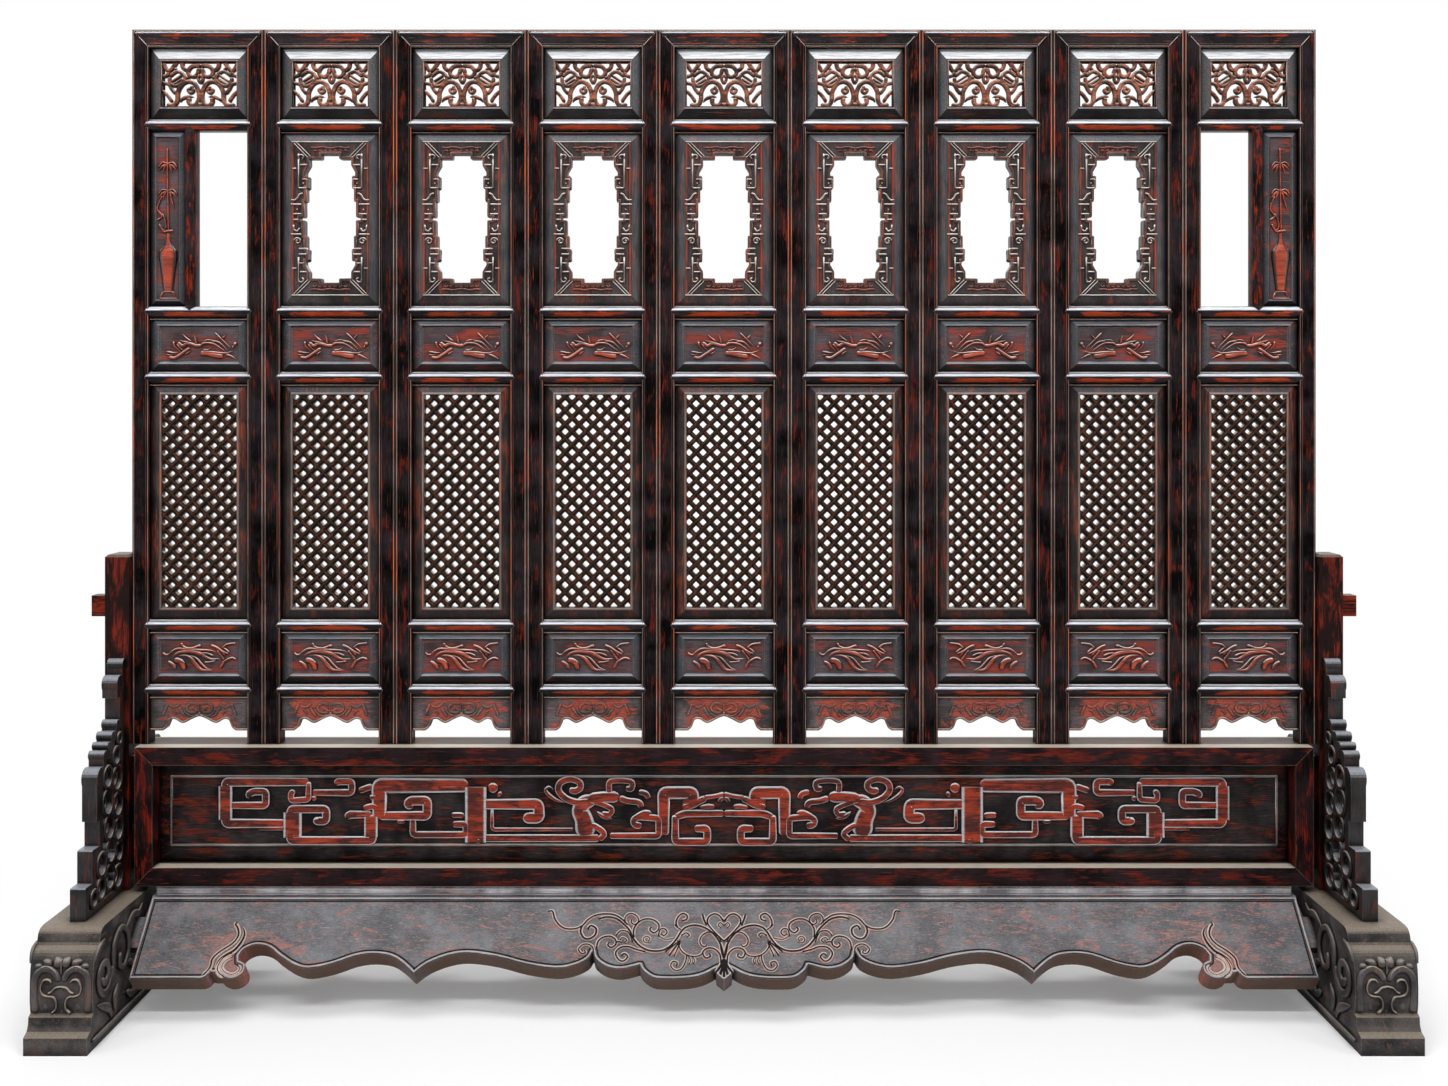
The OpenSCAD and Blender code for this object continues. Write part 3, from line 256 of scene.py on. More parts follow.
finishes = {
    # Flat faces that hands brush past: blackest, with narrow red streaks
    "stile": lacquer("brushedLacquerStile", dark="#060505", sheen="#252022", red="#30110c", bright="#602218",
                     redFrom=0.55, redTo=0.65, edge="#7a5648", edgeAmount=0.55, gloss=0.02, patchSize=55.0,
                     scratchFrom=0.6),
    "mullion": lacquer("rubbedLacquerMullion", dark="#0a0708", sheen="#2a2226", red="#4c1408", bright="#8c2c0c",
                       redFrom=0.52, redTo=0.62, edge="#7a5648", edgeAmount=0.55, gloss=0.05, patchSize=30.0,
                       scratchFrom=0.6),
    # Handled half-round rails: polished, red below, with a painted highlight on the shoulder
    "rail": lacquer("polishedLacquerRail", grain="X", dark="#0c0909", sheen="#2b2124", red="#5c180a",
                    bright="#a23a12", lowRed=0.22, middle=True, redFrom=0.595, redTo=0.68, dust="#e2e6ee",
                    dustAmount=0.9, dustFrom=0.08, dustTo=0.42, topDull=0.8, underFrom=-0.62, underTo=-0.85,
                    edge="#b09a8c", edgeAmount=0.45, rough=0.22, gloss=0.14, hollow=10.0),
    # Raised panels and their frames: painted top light, blue-grey to white, on what looks up, painted shade on what
    # looks down, red in patches
    "panel": lacquer("smokedLacquerPanel", grain="X", dark="#110e0f", sheen="#343235", red="#4c1a13",
                     bright="#7c3626", redFrom=0.54, redTo=0.64, dust="#a0a8b2", dustAmount=0.9, dustFrom=0.1,
                     dustTo=0.6, under="#0e0b0a", underFrom=-0.1, underTo=-0.34, sideDust=0.15, edge="#b5a49a",
                     edgeAmount=0.65, gloss=0.1),
    "openFrame": lacquer("smokedLacquerOpenFrame", grain="X", dark="#110f10", sheen="#303032", red="#3c1a15",
                         bright="#5c2c22", redFrom=0.57, redTo=0.68, dust="#f2f5f8", dustAmount=1.0, dustFrom=0.08,
                         dustTo=0.3, under="#0e0b0a", underFrom=-0.1, underTo=-0.34, sideDust=0.1, edge="#b5a49a",
                         edgeAmount=0.6, gloss=0.1),
    "field": lacquer("redBrownLacquerField", grain="X", dark="#322829", sheen="#51464a", red="#5c2019",
                     bright="#8c3a2b", redFrom=0.5, redTo=0.6, gloss=0.2, hollow=9.0),
    # Leg boards: brown-red, rubbed bare in the middle
    "legBoard": lacquer("redBrownLacquerLegBoard", grain="X", dark="#33302f", sheen="#62595a", red="#84352a",
                        bright="#a8503f", lowRed=0.19, lowFrom=2.0, lowTo=1.5, middle=True, redFrom=0.56, redTo=0.66,
                        swirl=1.6, grainWidth=3.0, grainLength=24.0, gloss=0.2),
    "legCarving": lacquer("rubbedLacquerLegCarving", carved=True, grain="X", dark="#483b38", sheen="#6c5c56",
                          red="#86382a", bright="#b0604c", redFrom=0.48, redTo=0.6, edge="#261817", edgeAmount=0.6,
                          dust="#b89a90", dustAmount=0.5, hollow=7.0, gloss=0.2),
    # Ground of the medallions: painted top and side light on what looks up and sideways
    "fretGround": lacquer("smokedLacquerFretGround", dark="#1f1b1b", sheen="#433c3c", red="#4c201a",
                          bright="#743828", redFrom=0.54, redTo=0.64, dust="#9aa2ab", dustAmount=0.7, dustFrom=0.08,
                          dustTo=0.55, sideDust=0.12, edge="#b5a49a", edgeAmount=0.7, gloss=0.2),
    # Frame of the stand: near-black with fine red streaks, pale on top with dust and painted top light, with a
    # painted shadow where the leaves stand
    "frameRail": lacquer("rubbedLacquerFrame", grain="X", dark="#110a0b", sheen="#271b1d", red="#3a120d",
                         bright="#642318", redFrom=0.51, redTo=0.61, dustAmount=1.0, dustFrom=0.5, sheltered=True,
                         dust="#c6bbac", edge="#8c7868", edgeAmount=0.6),
    "frameStile": lacquer("rubbedLacquerFrameStile", dark="#0e0809", sheen="#24181a", red="#42120c",
                          bright="#7a2416", redFrom=0.5, redTo=0.6, dustAmount=1.0, dustFrom=0.5, dust="#c6bbac",
                          edge="#8c7868", edgeAmount=0.6),
    "longPanel": lacquer("smokedLacquerLongPanel", grain="X", dark="#141112", sheen="#302b2b", red="#3c1710",
                         bright="#6a2c1d", redFrom=0.525, redTo=0.65, hollow=16.0, grainWidth=2.4, grainLength=36.0),
    # Aprons, which slope: grey with dust and painted top light on what faces up, and scratched
    "apron": lacquer("dustyLacquerApron", grain="X", dark="#242a33", sheen="#63676d", red="#7a4842",
                     bright="#a05f54", under="#513b2a", redFrom=0.53, redTo=0.65, blush=0.2, dust="#8f8c8c",
                     dustAmount=0.35, rough=0.5, patchSize=80.0, grainWidth=3.2, grainLength=20.0, swirl=2.8,
                     edge="#c4b2a4", edgeAmount=0.5, gloss=0.25, scratches=0.75, scratchFrom=0.59),
    # Feet: hardwood with its lacquer gone, grey-brown and dull; pale on top with dust and painted top light, with
    # painted shade in their hollows and on their carved rims
    "foot": lacquer("weatheredHardwoodFoot", grain="Y", dark="#1d1b1c", sheen="#4e4a48", red="#4a352d",
                    bright="#6c5044", under="#241812", redFrom=0.57, redTo=0.68, dust="#8f8375", dustAmount=0.9,
                    dustFrom=0.4, dustTo=1.0, rough=0.5, edge="#a09486", grainWidth=3.0, grainLength=20.0, swirl=2.0,
                    hollow=30.0, gloss=0.2),
    "footCarving": lacquer("weatheredHardwoodVolute", carved=True, grain="Z", dark="#2a2728", sheen="#514b49",
                           red="#4c3630", bright="#6c4a3c", redFrom=0.56, redTo=0.68, dust="#a0978d",
                           dustAmount=0.7, dustFrom=0.2, dustTo=0.85, edge="#171211", edgeAmount=0.7, rough=0.42,
                           hollow=20.0, gloss=0.35, rimFrom=0.74, rimTo=0.95),
    "footRidge": lacquer("weatheredHardwoodRidge", carved=True, grain="Z", dark="#5c534d", sheen="#8c8076",
                         red="#6a4a3c", bright="#8a6450", redFrom=0.56, redTo=0.68, dust="#c6b7a6", dustAmount=0.8,
                         dustFrom=0.2, dustTo=0.8, edge="#1c1615", edgeAmount=0.8, rough=0.45, hollow=9.0, gloss=0.3,
                         rimFrom=0.6, rimTo=0.85),
    # Posts and keys: red shows through everywhere
    "post": lacquer("rubbedLacquerPost", dark="#100706", sheen="#1c0d0b", red="#3c100a", bright="#742518",
                    redFrom=0.5, redTo=0.6, edge="#30201c", edgeAmount=0.5, gloss=0.09),
    "key": lacquer("rubbedLacquerKey", grain="X", dark="#180b09", sheen="#2a1712", red="#58190f", bright="#8c3220",
                   redFrom=0.44, redTo=0.56),
    # Brackets: dark, with a painted blue-grey highlight and dust on every ring, their carved rims dark as painted
    # shade
    "bracket": lacquer("smokedLacquerBracket", dark="#0d0b0c", sheen="#2b292a", red="#3a1611", bright="#5a281d",
                       redFrom=0.55, redTo=0.67, dust="#989ca3", dustAmount=0.8, dustFrom=0.16, dustTo=0.8,
                       edge="#6e6660", gloss=0.25, rough=0.3),
    "bracketCarving": lacquer("smokedLacquerScroll", carved=True, dark="#110d0d", sheen="#2c2625", red="#3c1a14",
                              bright="#5e2c20", redFrom=0.56, redTo=0.68, dust="#b5aaa0", dustAmount=0.9,
                              dustFrom=0.25, dustTo=0.85, edge="#0c0908", gloss=0.3, rough=0.3),
    # Relief: red lacquer, its tops painted pale as lit from above; the bands' rims rubbed pale with painted
    # highlight, the branches' rims dark as painted shade
    "carving": lacquer("carvedRedLacquer", carved=True, grain="X", dark="#3c1108", sheen="#54180c", red="#6c1d0d",
                       bright="#a43716", redFrom=0.45, redTo=0.58, edge="#bcb9bb", edgeAmount=0.9, dust="#e8e8ea",
                       dustAmount=0.95, dustFrom=0.2, dustTo=0.55, rough=0.26, gloss=0.25, hollow=8.0, rimFrom=0.68,
                       rimTo=0.84),
    "branch": lacquer("carvedRedLacquerBranch", carved=True, grain="X", dark="#6a2416", sheen="#843420",
                      red="#8a2c14", bright="#b84a28", redFrom=0.42, redTo=0.56, edge="#0e0706", edgeAmount=1.0,
                      dust="#f0e4da", dustAmount=0.95, dustFrom=0.35, dustTo=0.66, rough=0.3, gloss=0.35, hollow=7.0,
                      rimFrom=0.5, rimTo=0.8),
    # Beads and lines: thin, so worn to brown, tan or grey, pale on top with dust and painted top light, with painted
    # shade as dark rims beside them
    "bead": lacquer("rubbedLacquerBead", carved=True, dark="#161010", sheen="#2c201e", red="#4c1c13",
                    bright="#7c3a28", redFrom=0.54, redTo=0.64, edge="#0c0807", edgeAmount=0.6, dust="#a59488",
                    dustAmount=0.6, dustFrom=0.2, rough=0.3, gloss=0.25, grainLength=160.0, patchSize=260.0,
                    hollow=6.0),
    "tanBead": lacquer("wornLacquerBead", carved=True, dark="#574741", sheen="#87736a", red="#8c3c22",
                       bright="#b8603f", redFrom=0.54, redTo=0.62, edge="#120b0a", edgeAmount=0.9, dust="#cdbcae",
                       dustAmount=0.8, dustFrom=0.2, dustTo=0.7, rough=0.3, gloss=0.3, grainLength=120.0,
                       patchSize=200.0, hollow=4.0, rimFrom=0.62, rimTo=0.85),
    "panelBead": lacquer("wornLacquerPanelBead", carved=True, grain="X", dark="#544d4a", sheen="#88817c",
                         red="#74392c", bright="#9c5a48", redFrom=0.56, redTo=0.66, edge="#120b0a", edgeAmount=0.9,
                         dust="#dcd8d3", dustAmount=0.9, dustFrom=0.1, dustTo=0.6, rough=0.3, gloss=0.3,
                         grainLength=120.0, patchSize=200.0, hollow=3.0, rimFrom=0.62, rimTo=0.85),
    "rimBead": lacquer("redBrownLacquerRim", carved=True, dark="#3e2824", sheen="#573a33", red="#5c2e24",
                       bright="#7c4436", redFrom=0.48, redTo=0.6, edge="#110a09", edgeAmount=0.9, dust="#cdb6a8",
                       dustAmount=0.85, dustFrom=0.2, dustTo=0.8, rough=0.3, gloss=0.3, hollow=4.0, rimFrom=0.74,
                       rimTo=0.94),
    "redLine": lacquer("rubbedRedLacquerLine", carved=True, dark="#481a12", sheen="#60261a", red="#702818",
                       bright="#8e3c26", redFrom=0.42, redTo=0.56, edge="#110a09", edgeAmount=0.8, dust="#c2a999",
                       dustAmount=0.6, rough=0.3, gloss=0.3, hollow=4.0, grainLength=120.0, rimFrom=0.74, rimTo=0.94),
    "paleLine": lacquer("polishedLacquerLine", carved=True, grain="X", dark="#8a8078", sheen="#b9aea6",
                        red="#8c5a48", bright="#b07a66", redFrom=0.6, redTo=0.7, edge="#171110", edgeAmount=0.9,
                        dust="#f2ece6", dustAmount=0.9, dustFrom=0.1, dustTo=0.6, rough=0.3, gloss=0.3, hollow=3.0,
                        rimFrom=0.68, rimTo=0.9),
    "strip": lacquer("dustyLacquerStrip", carved=True, grain="X", dark="#57565b", sheen="#aaa7aa", red="#7c554d",
                     bright="#a27a6e", redFrom=0.58, redTo=0.7, edge="#8f8b8d", edgeAmount=0.4, dust="#c9c4c2",
                     dustAmount=0.6, rough=0.4, gloss=0.3, hollow=4.0, grainLength=90.0, patchSize=160.0,
                     scratches=0.8),
    "fret": lacquer("rubbedLacquerFret", carved=True, dark="#564741", sheen="#7d6a60", red="#6c3628",
                    bright="#96543e", redFrom=0.57, redTo=0.68, edge="#0c0808", edgeAmount=0.95, dust="#efe6dd",
                    dustAmount=0.95, dustFrom=0.1, dustTo=0.5, hollow=4.0, gloss=0.3, rimFrom=0.6, rimTo=0.86),
    # Lattice: black bars, pale brown where they look up, which is painted light
    "grille": lacquer("rubbedLacquerGrille", dark="#0a0706", sheen="#18100e", red="#34160f", bright="#5c3324",
                      redFrom=0.56, redTo=0.68, edge="#4a3328", edgeAmount=0.2, dust="#d0c0ae", dustAmount=1.0,
                      dustFrom=0.4, dustTo=0.6, patchSize=30.0, hollow=3.0, gloss=0.03),
    "latticeBorder": lacquer("smokedLacquerLatticeBorder", dark="#1a1617", sheen="#38302f", red="#4c2018",
                             bright="#7a3c2a", redFrom=0.52, redTo=0.64, dust="#8d9096", dustAmount=0.7,
                             dustFrom=0.08, dustTo=0.6, under="#120e0d", underFrom=-0.1, underTo=-0.34,
                             edge="#9a8478", edgeAmount=0.6, gloss=0.15),
    "ridge": lacquer("rubbedLacquerRidge", dark="#100b09", sheen="#241813", red="#40201a", bright="#643a2c",
                     redFrom=0.5, redTo=0.62, edge="#7c6250", edgeAmount=0.2, dust="#5c4436", dustAmount=0.7,
                     dustFrom=0.1, dustTo=0.5, patchSize=30.0, hollow=6.0, gloss=0.05),
    "paleBead": lacquer("dustyLacquerBead", carved=True, grain="X", dark="#5c5c62", sheen="#9a999e", red="#84503f",
                        bright="#b07868", redFrom=0.56, redTo=0.66, edge="#141214", edgeAmount=0.9, dust="#c3bcba",
                        dustAmount=0.7, dustFrom=0.3, dustTo=0.9, hollow=3.0, grainLength=90.0, patchSize=120.0,
                        rimFrom=0.66, rimTo=0.9),
    # Drawing on the aprons: rubbed to pale pink
    "flame": lacquer("palePinkLacquerFlame", carved=True, grain="Z", dark="#94847e", sheen="#cab9b0", red="#a0655a",
                     bright="#c88f80", redFrom=0.5, redTo=0.62, edge="#8c7870", edgeAmount=0.3, dust="#d6c6bd",
                     dustAmount=0.6, dustFrom=0.5, dustTo=0.9, hollow=2.0),
    "vine": lacquer("raisedLacquerVine", carved=True, grain="X", dark="#8c7c76", sheen="#b9a79f", red="#9c6a5e",
                    bright="#c69888", redFrom=0.5, redTo=0.62, edge="#8a7a74", edgeAmount=0.3, dust="#d3c4be",
                    dustAmount=0.9, dustFrom=0.5, dustTo=0.85, hollow=2.0),
    # Near-black grooves: painted shade, a raised dark line standing for a groove in shade
    "groove": lacquer("grimyLacquerGroove", carved=True, grain="X", dark="#0a0909", sheen="#151314", red="#241210",
                      bright="#381e19", redFrom=0.6, redTo=0.7, edge="#0a0909", edgeAmount=0.5, dust="#1c1b1c",
                      dustAmount=0.2, hollow=4.0, gloss=0.08, scratches=0.0),
    # Pierced scrolls: pale on top with dust and painted top light, their rims dark as painted shade
    "pierced": lacquer("piercedLacquerScroll", carved=True, grain="X", dark="#341b14", sheen="#5c382b",
                       red="#763826", bright="#ac6a50", redFrom=0.46, redTo=0.6, edge="#0b0605", edgeAmount=0.95,
                       dust="#cdbaab", dustAmount=0.9, dustFrom=0.2, dustTo=0.65, hollow=6.0, gloss=0.2,
                       grainWidth=3.0, grainLength=8.0, swirl=2.0, scratches=0.7, rimFrom=0.74, rimTo=0.93),
}
print("finishes:", len(finishes))


# Carved strokes: a Geometry Nodes tree sweeps a section along paths drawn on a flat ground

def strokeTree():
    tree = bpy.data.node_groups.new("carvedStroke", "GeometryNodeTree")
    for name, kind in (("Paths", "NodeSocketGeometry"), ("Sides", "NodeSocketInt"),
                       ("Squareness", "NodeSocketFloat"), ("Material", "NodeSocketMaterial")):
        tree.interface.new_socket(name, in_out="INPUT", socket_type=kind)
    tree.interface.new_socket("Carving", in_out="OUTPUT", socket_type="NodeSocketGeometry")
    given = addNode(tree, "NodeGroupInput").outputs
    circle = addNode(tree, "GeometryNodeCurvePrimitiveCircle", {"Resolution": given["Sides"], "Radius": 1.0})
    place = addNode(tree, "ShaderNodeSeparateXYZ", {0: addNode(tree, "GeometryNodeInputPosition").outputs[0]})
    # A Squareness under 1 swells the round section towards a square one
    squared = []
    for axis in ("X", "Y"):
        size = addNode(tree, "ShaderNodeMath", {0: place.outputs[axis]}, operation="ABSOLUTE")
        grown = addNode(tree, "ShaderNodeMath", {0: size.outputs[0], 1: given["Squareness"]}, operation="POWER")
        sign = addNode(tree, "ShaderNodeMath", {0: place.outputs[axis]}, operation="SIGN")
        squared.append(addNode(tree, "ShaderNodeMath", {0: grown.outputs[0], 1: sign.outputs[0]},
                               operation="MULTIPLY").outputs[0])
    section = addNode(tree, "GeometryNodeSetPosition", {
        "Geometry": circle.outputs[0],
        "Position": addNode(tree, "ShaderNodeCombineXYZ", {0: squared[0], 1: squared[1]}).outputs[0]})
    profile = section.outputs[0]
    for name, axis in (("across", "X"), ("up", "Y")):
        kept = addNode(tree, "ShaderNodeSeparateXYZ", {0: addNode(tree, "GeometryNodeInputPosition").outputs[0]})
        profile = addNode(tree, "GeometryNodeStoreNamedAttribute", {
            "Geometry": profile, "Name": name, "Value": kept.outputs[axis]}, data_type="FLOAT").outputs[0]
    half = addNode(tree, "GeometryNodeInputNamedAttribute", {"Name": "halfWidth"}, data_type="FLOAT")
    path = addNode(tree, "GeometryNodeMeshToCurve", {"Mesh": given["Paths"]})
    level = addNode(tree, "GeometryNodeSetCurveNormal", {"Curve": path.outputs[0]}, mode="Z_UP")
    swept = addNode(tree, "GeometryNodeCurveToMesh", {
        "Curve": level.outputs[0], "Profile Curve": profile, "Scale": half.outputs[0], "Fill Caps": True})
    read = {name: addNode(tree, "GeometryNodeInputNamedAttribute", {"Name": name}, data_type="FLOAT").outputs[0]
            for name in ("up", "rise", "ground")}
    height = addNode(tree, "ShaderNodeMath", {0: read["up"], 1: read["rise"], 2: read["ground"]},
                     operation="MULTIPLY_ADD")
    spot = addNode(tree, "ShaderNodeSeparateXYZ", {0: addNode(tree, "GeometryNodeInputPosition").outputs[0]})
    raised = addNode(tree, "GeometryNodeSetPosition", {
        "Geometry": swept.outputs[0],
        "Position": addNode(tree, "ShaderNodeCombineXYZ", {
            0: spot.outputs["X"], 1: spot.outputs["Y"], 2: height.outputs[0]}).outputs[0]})
    smooth = addNode(tree, "GeometryNodeSetShadeSmooth", {"Geometry": raised.outputs[0]})
    real = addNode(tree, "GeometryNodeRealizeInstances", {0: smooth.outputs[0]})
    dressed = addNode(tree, "GeometryNodeSetMaterial", {
        "Geometry": real.outputs[0], "Material": given["Material"]})
    addNode(tree, "NodeGroupOutput", {0: dressed.outputs[0]})
    return tree


def curved(points, steps=5, closed=False):
    # Catmull-Rom curve through the points
    count = len(points)
    nearby = (lambda i: i % count) if closed else (lambda i: min(max(i, 0), count - 1))
    line = []
    for i in range(count if closed else count - 1):
        a, b, c, d = (Vector(points[nearby(i + k)]) for k in (-1, 0, 1, 2))
        for k in range(steps):
            t = k / steps
            line.append(0.5 * (2 * b + (c - a) * t + (2 * a - 5 * b + 4 * c - d) * t * t
                               + (3 * b - a - 3 * c + d) * t ** 3))
    return line if closed else line + [Vector(points[-1])]


def filleted(points, radius, closed=False):
    # The same line with its corners rounded
    line = []
    for i, point in enumerate(points):
        corner = Vector(point)
        if not closed and i in (0, len(points) - 1):
            line.append(corner)
            continue
        before, after = Vector(points[i - 1]) - corner, Vector(points[(i + 1) % len(points)]) - corner
        cut = min(radius, before.length * 0.49, after.length * 0.49)
        start, end = corner + before.normalized() * cut, corner + after.normalized() * cut
        line += [(1 - t) ** 2 * start + 2 * t * (1 - t) * corner + t * t * end for t in (0, 0.25, 0.5, 0.75, 1)]
    return line


def spiral(centre, outer, inner, start, turns, steps=10):
    # Points of a volute from its outer end inwards, angles in turns
    line = []
    for i in range(int(abs(turns) * steps) + 1):
        t = i / (abs(turns) * steps)
        angle = (start + turns * t) * math.tau
        radius = outer + (inner - outer) * t ** 0.8
        line.append((centre[0] + radius * math.cos(angle), centre[1] + radius * math.sin(angle)))
    return line


def endFactors(line, width, ends):
    # How wide the stroke is at each point: round ends, pointed like a leaf, or cut off
    lengths = [0.0]
    for a, b in zip(line, line[1:]):
        lengths.append(lengths[-1] + (b - a).length)
    total = max(lengths[-1], 1e-6)
    factors = []
    for at in lengths:
        left, right = at, total - at
        if ends == "leaf":
            factors.append(max(0.08, math.sin(math.pi * min(max(at / total, 0), 1)) ** 0.7))
        elif ends == "tail":
            factors.append(max(0.1, min(1, (right / total) * 1.6) ** 0.8) * min(1, 0.3 + left / width))
        elif ends == "round":
            reach = min(left, right, width / 2) / (width / 2)
            factors.append(max(0.15, math.sqrt(max(0, 1 - (1 - reach) ** 2))))
        else:
            factors.append(1.0)
    return factors


def withEndPoints(line, width):
    # More points near both ends, so that a round end is round
    for _ in range(2):
        extra = []
        for share in (0.06, 0.2, 0.5):
            want = width / 2 * share
            if (line[1] - line[0]).length > want * 1.3:
                extra.append(line[0] + (line[1] - line[0]).normalized() * want)
        line = ([line[0]] + extra + line[1:])[::-1]
    return line


def spread(values, count):
    # The values along a line, read at that many even steps
    read = []
    for i in range(count):
        at = i / (count - 1) * (len(values) - 1)
        k = min(int(at), len(values) - 2)
        read.append(values[k] + (values[k + 1] - values[k]) * (at - k))
    return read


def widened(strokes, factor=1.0, more=0.0, side=1):
    # The same strokes with other widths, mirrored where side is -1
    return [(s[0] * factor + more, [(side * x, y) for x, y in s[1]], *s[2:]) for s in strokes]


def drawing(strokes, rise, ground=0.0, ends="round", sink=1.5, mirror=False, smooth=True, radius=4, layer=0.12):
    # Each stroke is a width and its points, or a width, points and settings of its own. Layer lifts
    # strokes that cross a little above each other, sink is how deep they reach into the ground.
    made = []
    for number, stroke in enumerate(strokes):
        width, points = stroke[0], stroke[1]
        own = stroke[2] if len(stroke) > 2 else {}
        closed = own.get("closed", False)
        if own.get("smooth", smooth):
            line = curved(points, closed=closed)
        else:
            line = filleted(points, own.get("radius", radius), closed)
        line = [Vector(p).to_2d() for p in line]
        kind = "cut" if closed else own.get("ends", ends)
        if kind == "round":
            line = withEndPoints(line, width)
        factors = endFactors(line, width, kind)
        if "widths" in own:
            factors = [f * w / width for f, w in zip(factors, spread(own["widths"], len(line)))]
        top = own.get("rise", rise) + layer * (number % 5)
        for side in ((1, -1) if mirror and own.get("mirror", True) else (1,)):
            made.append({"line": [(p.x * side, p.y) for p in line], "closed": closed,
                         "half": [width / 2 * f for f in factors],
                         "rise": [(top + sink) / 2 * (0.35 + 0.65 * f) for f in factors],
                         "ground": [ground + own.get("lift", 0.0)] * len(line), "sink": sink})
    return made


def sweep(name, strokes, material, sides=8, squareness=1.0):
    # Runs the tree on the drawn paths and gives back a plain mesh on the flat ground
    points, edges, halves, rises, grounds = [], [], [], [], []
    for stroke in strokes:
        first = len(points)
        points += [(x * mm, y * mm, 0.0) for x, y in stroke["line"]]
        last = len(points) - 1
        edges += [(i, i + 1) for i in range(first, last)] + ([(last, first)] if stroke["closed"] else [])
        halves += [h * mm for h in stroke["half"]]
        rises += [r * mm for r in stroke["rise"]]
        grounds += [(g - stroke["sink"] + r) * mm for g, r in zip(stroke["ground"], stroke["rise"])]
    mesh = bpy.data.meshes.new(name)
    mesh.from_pydata(points, edges, [])
    for key, values in (("halfWidth", halves), ("rise", rises), ("ground", grounds)):
        mesh.attributes.new(key, "FLOAT", "POINT").data.foreach_set("value", values)
    holder = bpy.data.objects.new(name + "Paths", mesh)
    bpy.context.scene.collection.objects.link(holder)
    modifier = holder.modifiers.new("carve", "NODES")
    modifier.node_group = carvedStroke
    sockets = {item.name: item.identifier for item in carvedStroke.interface.items_tree}
    modifier[sockets["Sides"]] = sides
    modifier[sockets["Squareness"]] = squareness
    modifier[sockets["Material"]] = material
    result = bpy.data.meshes.new_from_object(holder.evaluated_get(bpy.context.evaluated_depsgraph_get()))
    bpy.data.objects.remove(holder)
    bpy.data.meshes.remove(mesh)
    return result


carvedStroke = strokeTree()


def front(x, y, z):
    # A flat drawing stood upright, seen from the front: its right is +X, its up +Z and it rises to -Y
    return Matrix(((1, 0, 0, x * mm), (0, 0, -1, y * mm), (0, 1, 0, z * mm), (0, 0, 0, 1)))


def back(x, y, z):
    # The same seen from behind: its right is -X and it rises to +Y
    return Matrix(((-1, 0, 0, x * mm), (0, 0, 1, y * mm), (0, 1, 0, z * mm), (0, 0, 0, 1)))


def piece(name, placed, body, replaced=()):
    # One object from several meshes, each with its place
    joined = bmesh.new()
    materials = []
    for mesh, place in placed:
        part = mesh.copy()
        part.transform(place)
        materials += [material for material in mesh.materials if material not in materials]
        slots = [materials.index(material) for material in mesh.materials]
        for polygon in part.polygons:
            polygon.material_index = slots[polygon.material_index]
        joined.from_mesh(part)
        bpy.data.meshes.remove(part)
    whole = bpy.data.meshes.new(name)
    joined.to_mesh(whole)
    joined.free()
    for material in materials:
        whole.materials.append(material)
    made = bpy.data.objects.new(name, whole)
    bpy.context.scene.collection.objects.link(made)
    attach(made, body)
    if replaced:
        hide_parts(*replaced)


# The long panel of the stand: fret dragons in flat raised bands, alike on both sides of the middle
longPanel = {"rise": 6.0, "curlProud": 0.8, "radius": 9, "halfWidth": 1389, "low": 361, "high": 545, "face": 17,
             "bead": 7, "beadInset": 6, "beadRise": 3}
fretBands = [
    (24, [(-1039, 73), (-1246, 73), (-1246, -31), (-1097, -31)]),
    (34, [(-1247, 62), (-1247, -22)], {"ends": "cut"}), (46, [(-1079, -4), (-1079, -66)], {"ends": "cut"}),
    (34, [(-883, -14), (-883, -64)], {"ends": "cut"}), (40, [(-862, -22), (-862, 64), (-640, 64)]),
    (19, [(-1243, 14), (-1146, 14), (-1146, 49), (-1176, 49), (-1189, 42), (-1184, 33)]),
    (21, [(-1097, -31), (-1084, -31), (-1084, 5), (-995, 5), (-995, -25), (-1018, -25), (-1023, -17)]),
    (15, [(-1039, 73), (-1039, 29), (-1083, 26), (-1083, 45), (-1074, 50)]),
    (18, [(-1030, 46), (-931, 46), (-931, 74), (-965, 74), (-972, 66)]),
    (22, [(-1084, 0), (-1084, -74), (-879, -74), (-879, -8)]),
    (20, [(-880, -9), (-938, -9), (-944, -20)]),
    (10, [(-1165, -44), (-1092, -44)]),
    (24, [(-862, -12), (-742, -12), (-742, 26), (-782, 26), (-792, 18), (-776, 12)]),
    (17, [(-778, -16), (-778, -59), (-645, -59), (-645, -33), (-679, -33)]),
    (54, [(-621, 60), (-621, -78)], {"ends": "cut"}),
    (29, [(-612, 17), (-464, 17), (-462, -17), (-491, -17), (-500, -10)]),
    (22, [(-614, -68), (-312, -68)]),
    (9, [(-580, 5), (-580, -46), (-378, -46)]),
    (17, [(-286, -62), (-163, -62), (-163, -18), (-216, -14), (-228, -24), (-222, -36), (-206, -36)]),
    (32, [(-151, -62), (-151, 46), (-78, 46), (-78, 26), (-104, 24)]),
    (20, [(-122, -10), (-122, -77), (-42, -77), (-42, -44), (-74, -44)]),
    (19, [(-122, -16), (-98, -6), (0, -6)]),
]
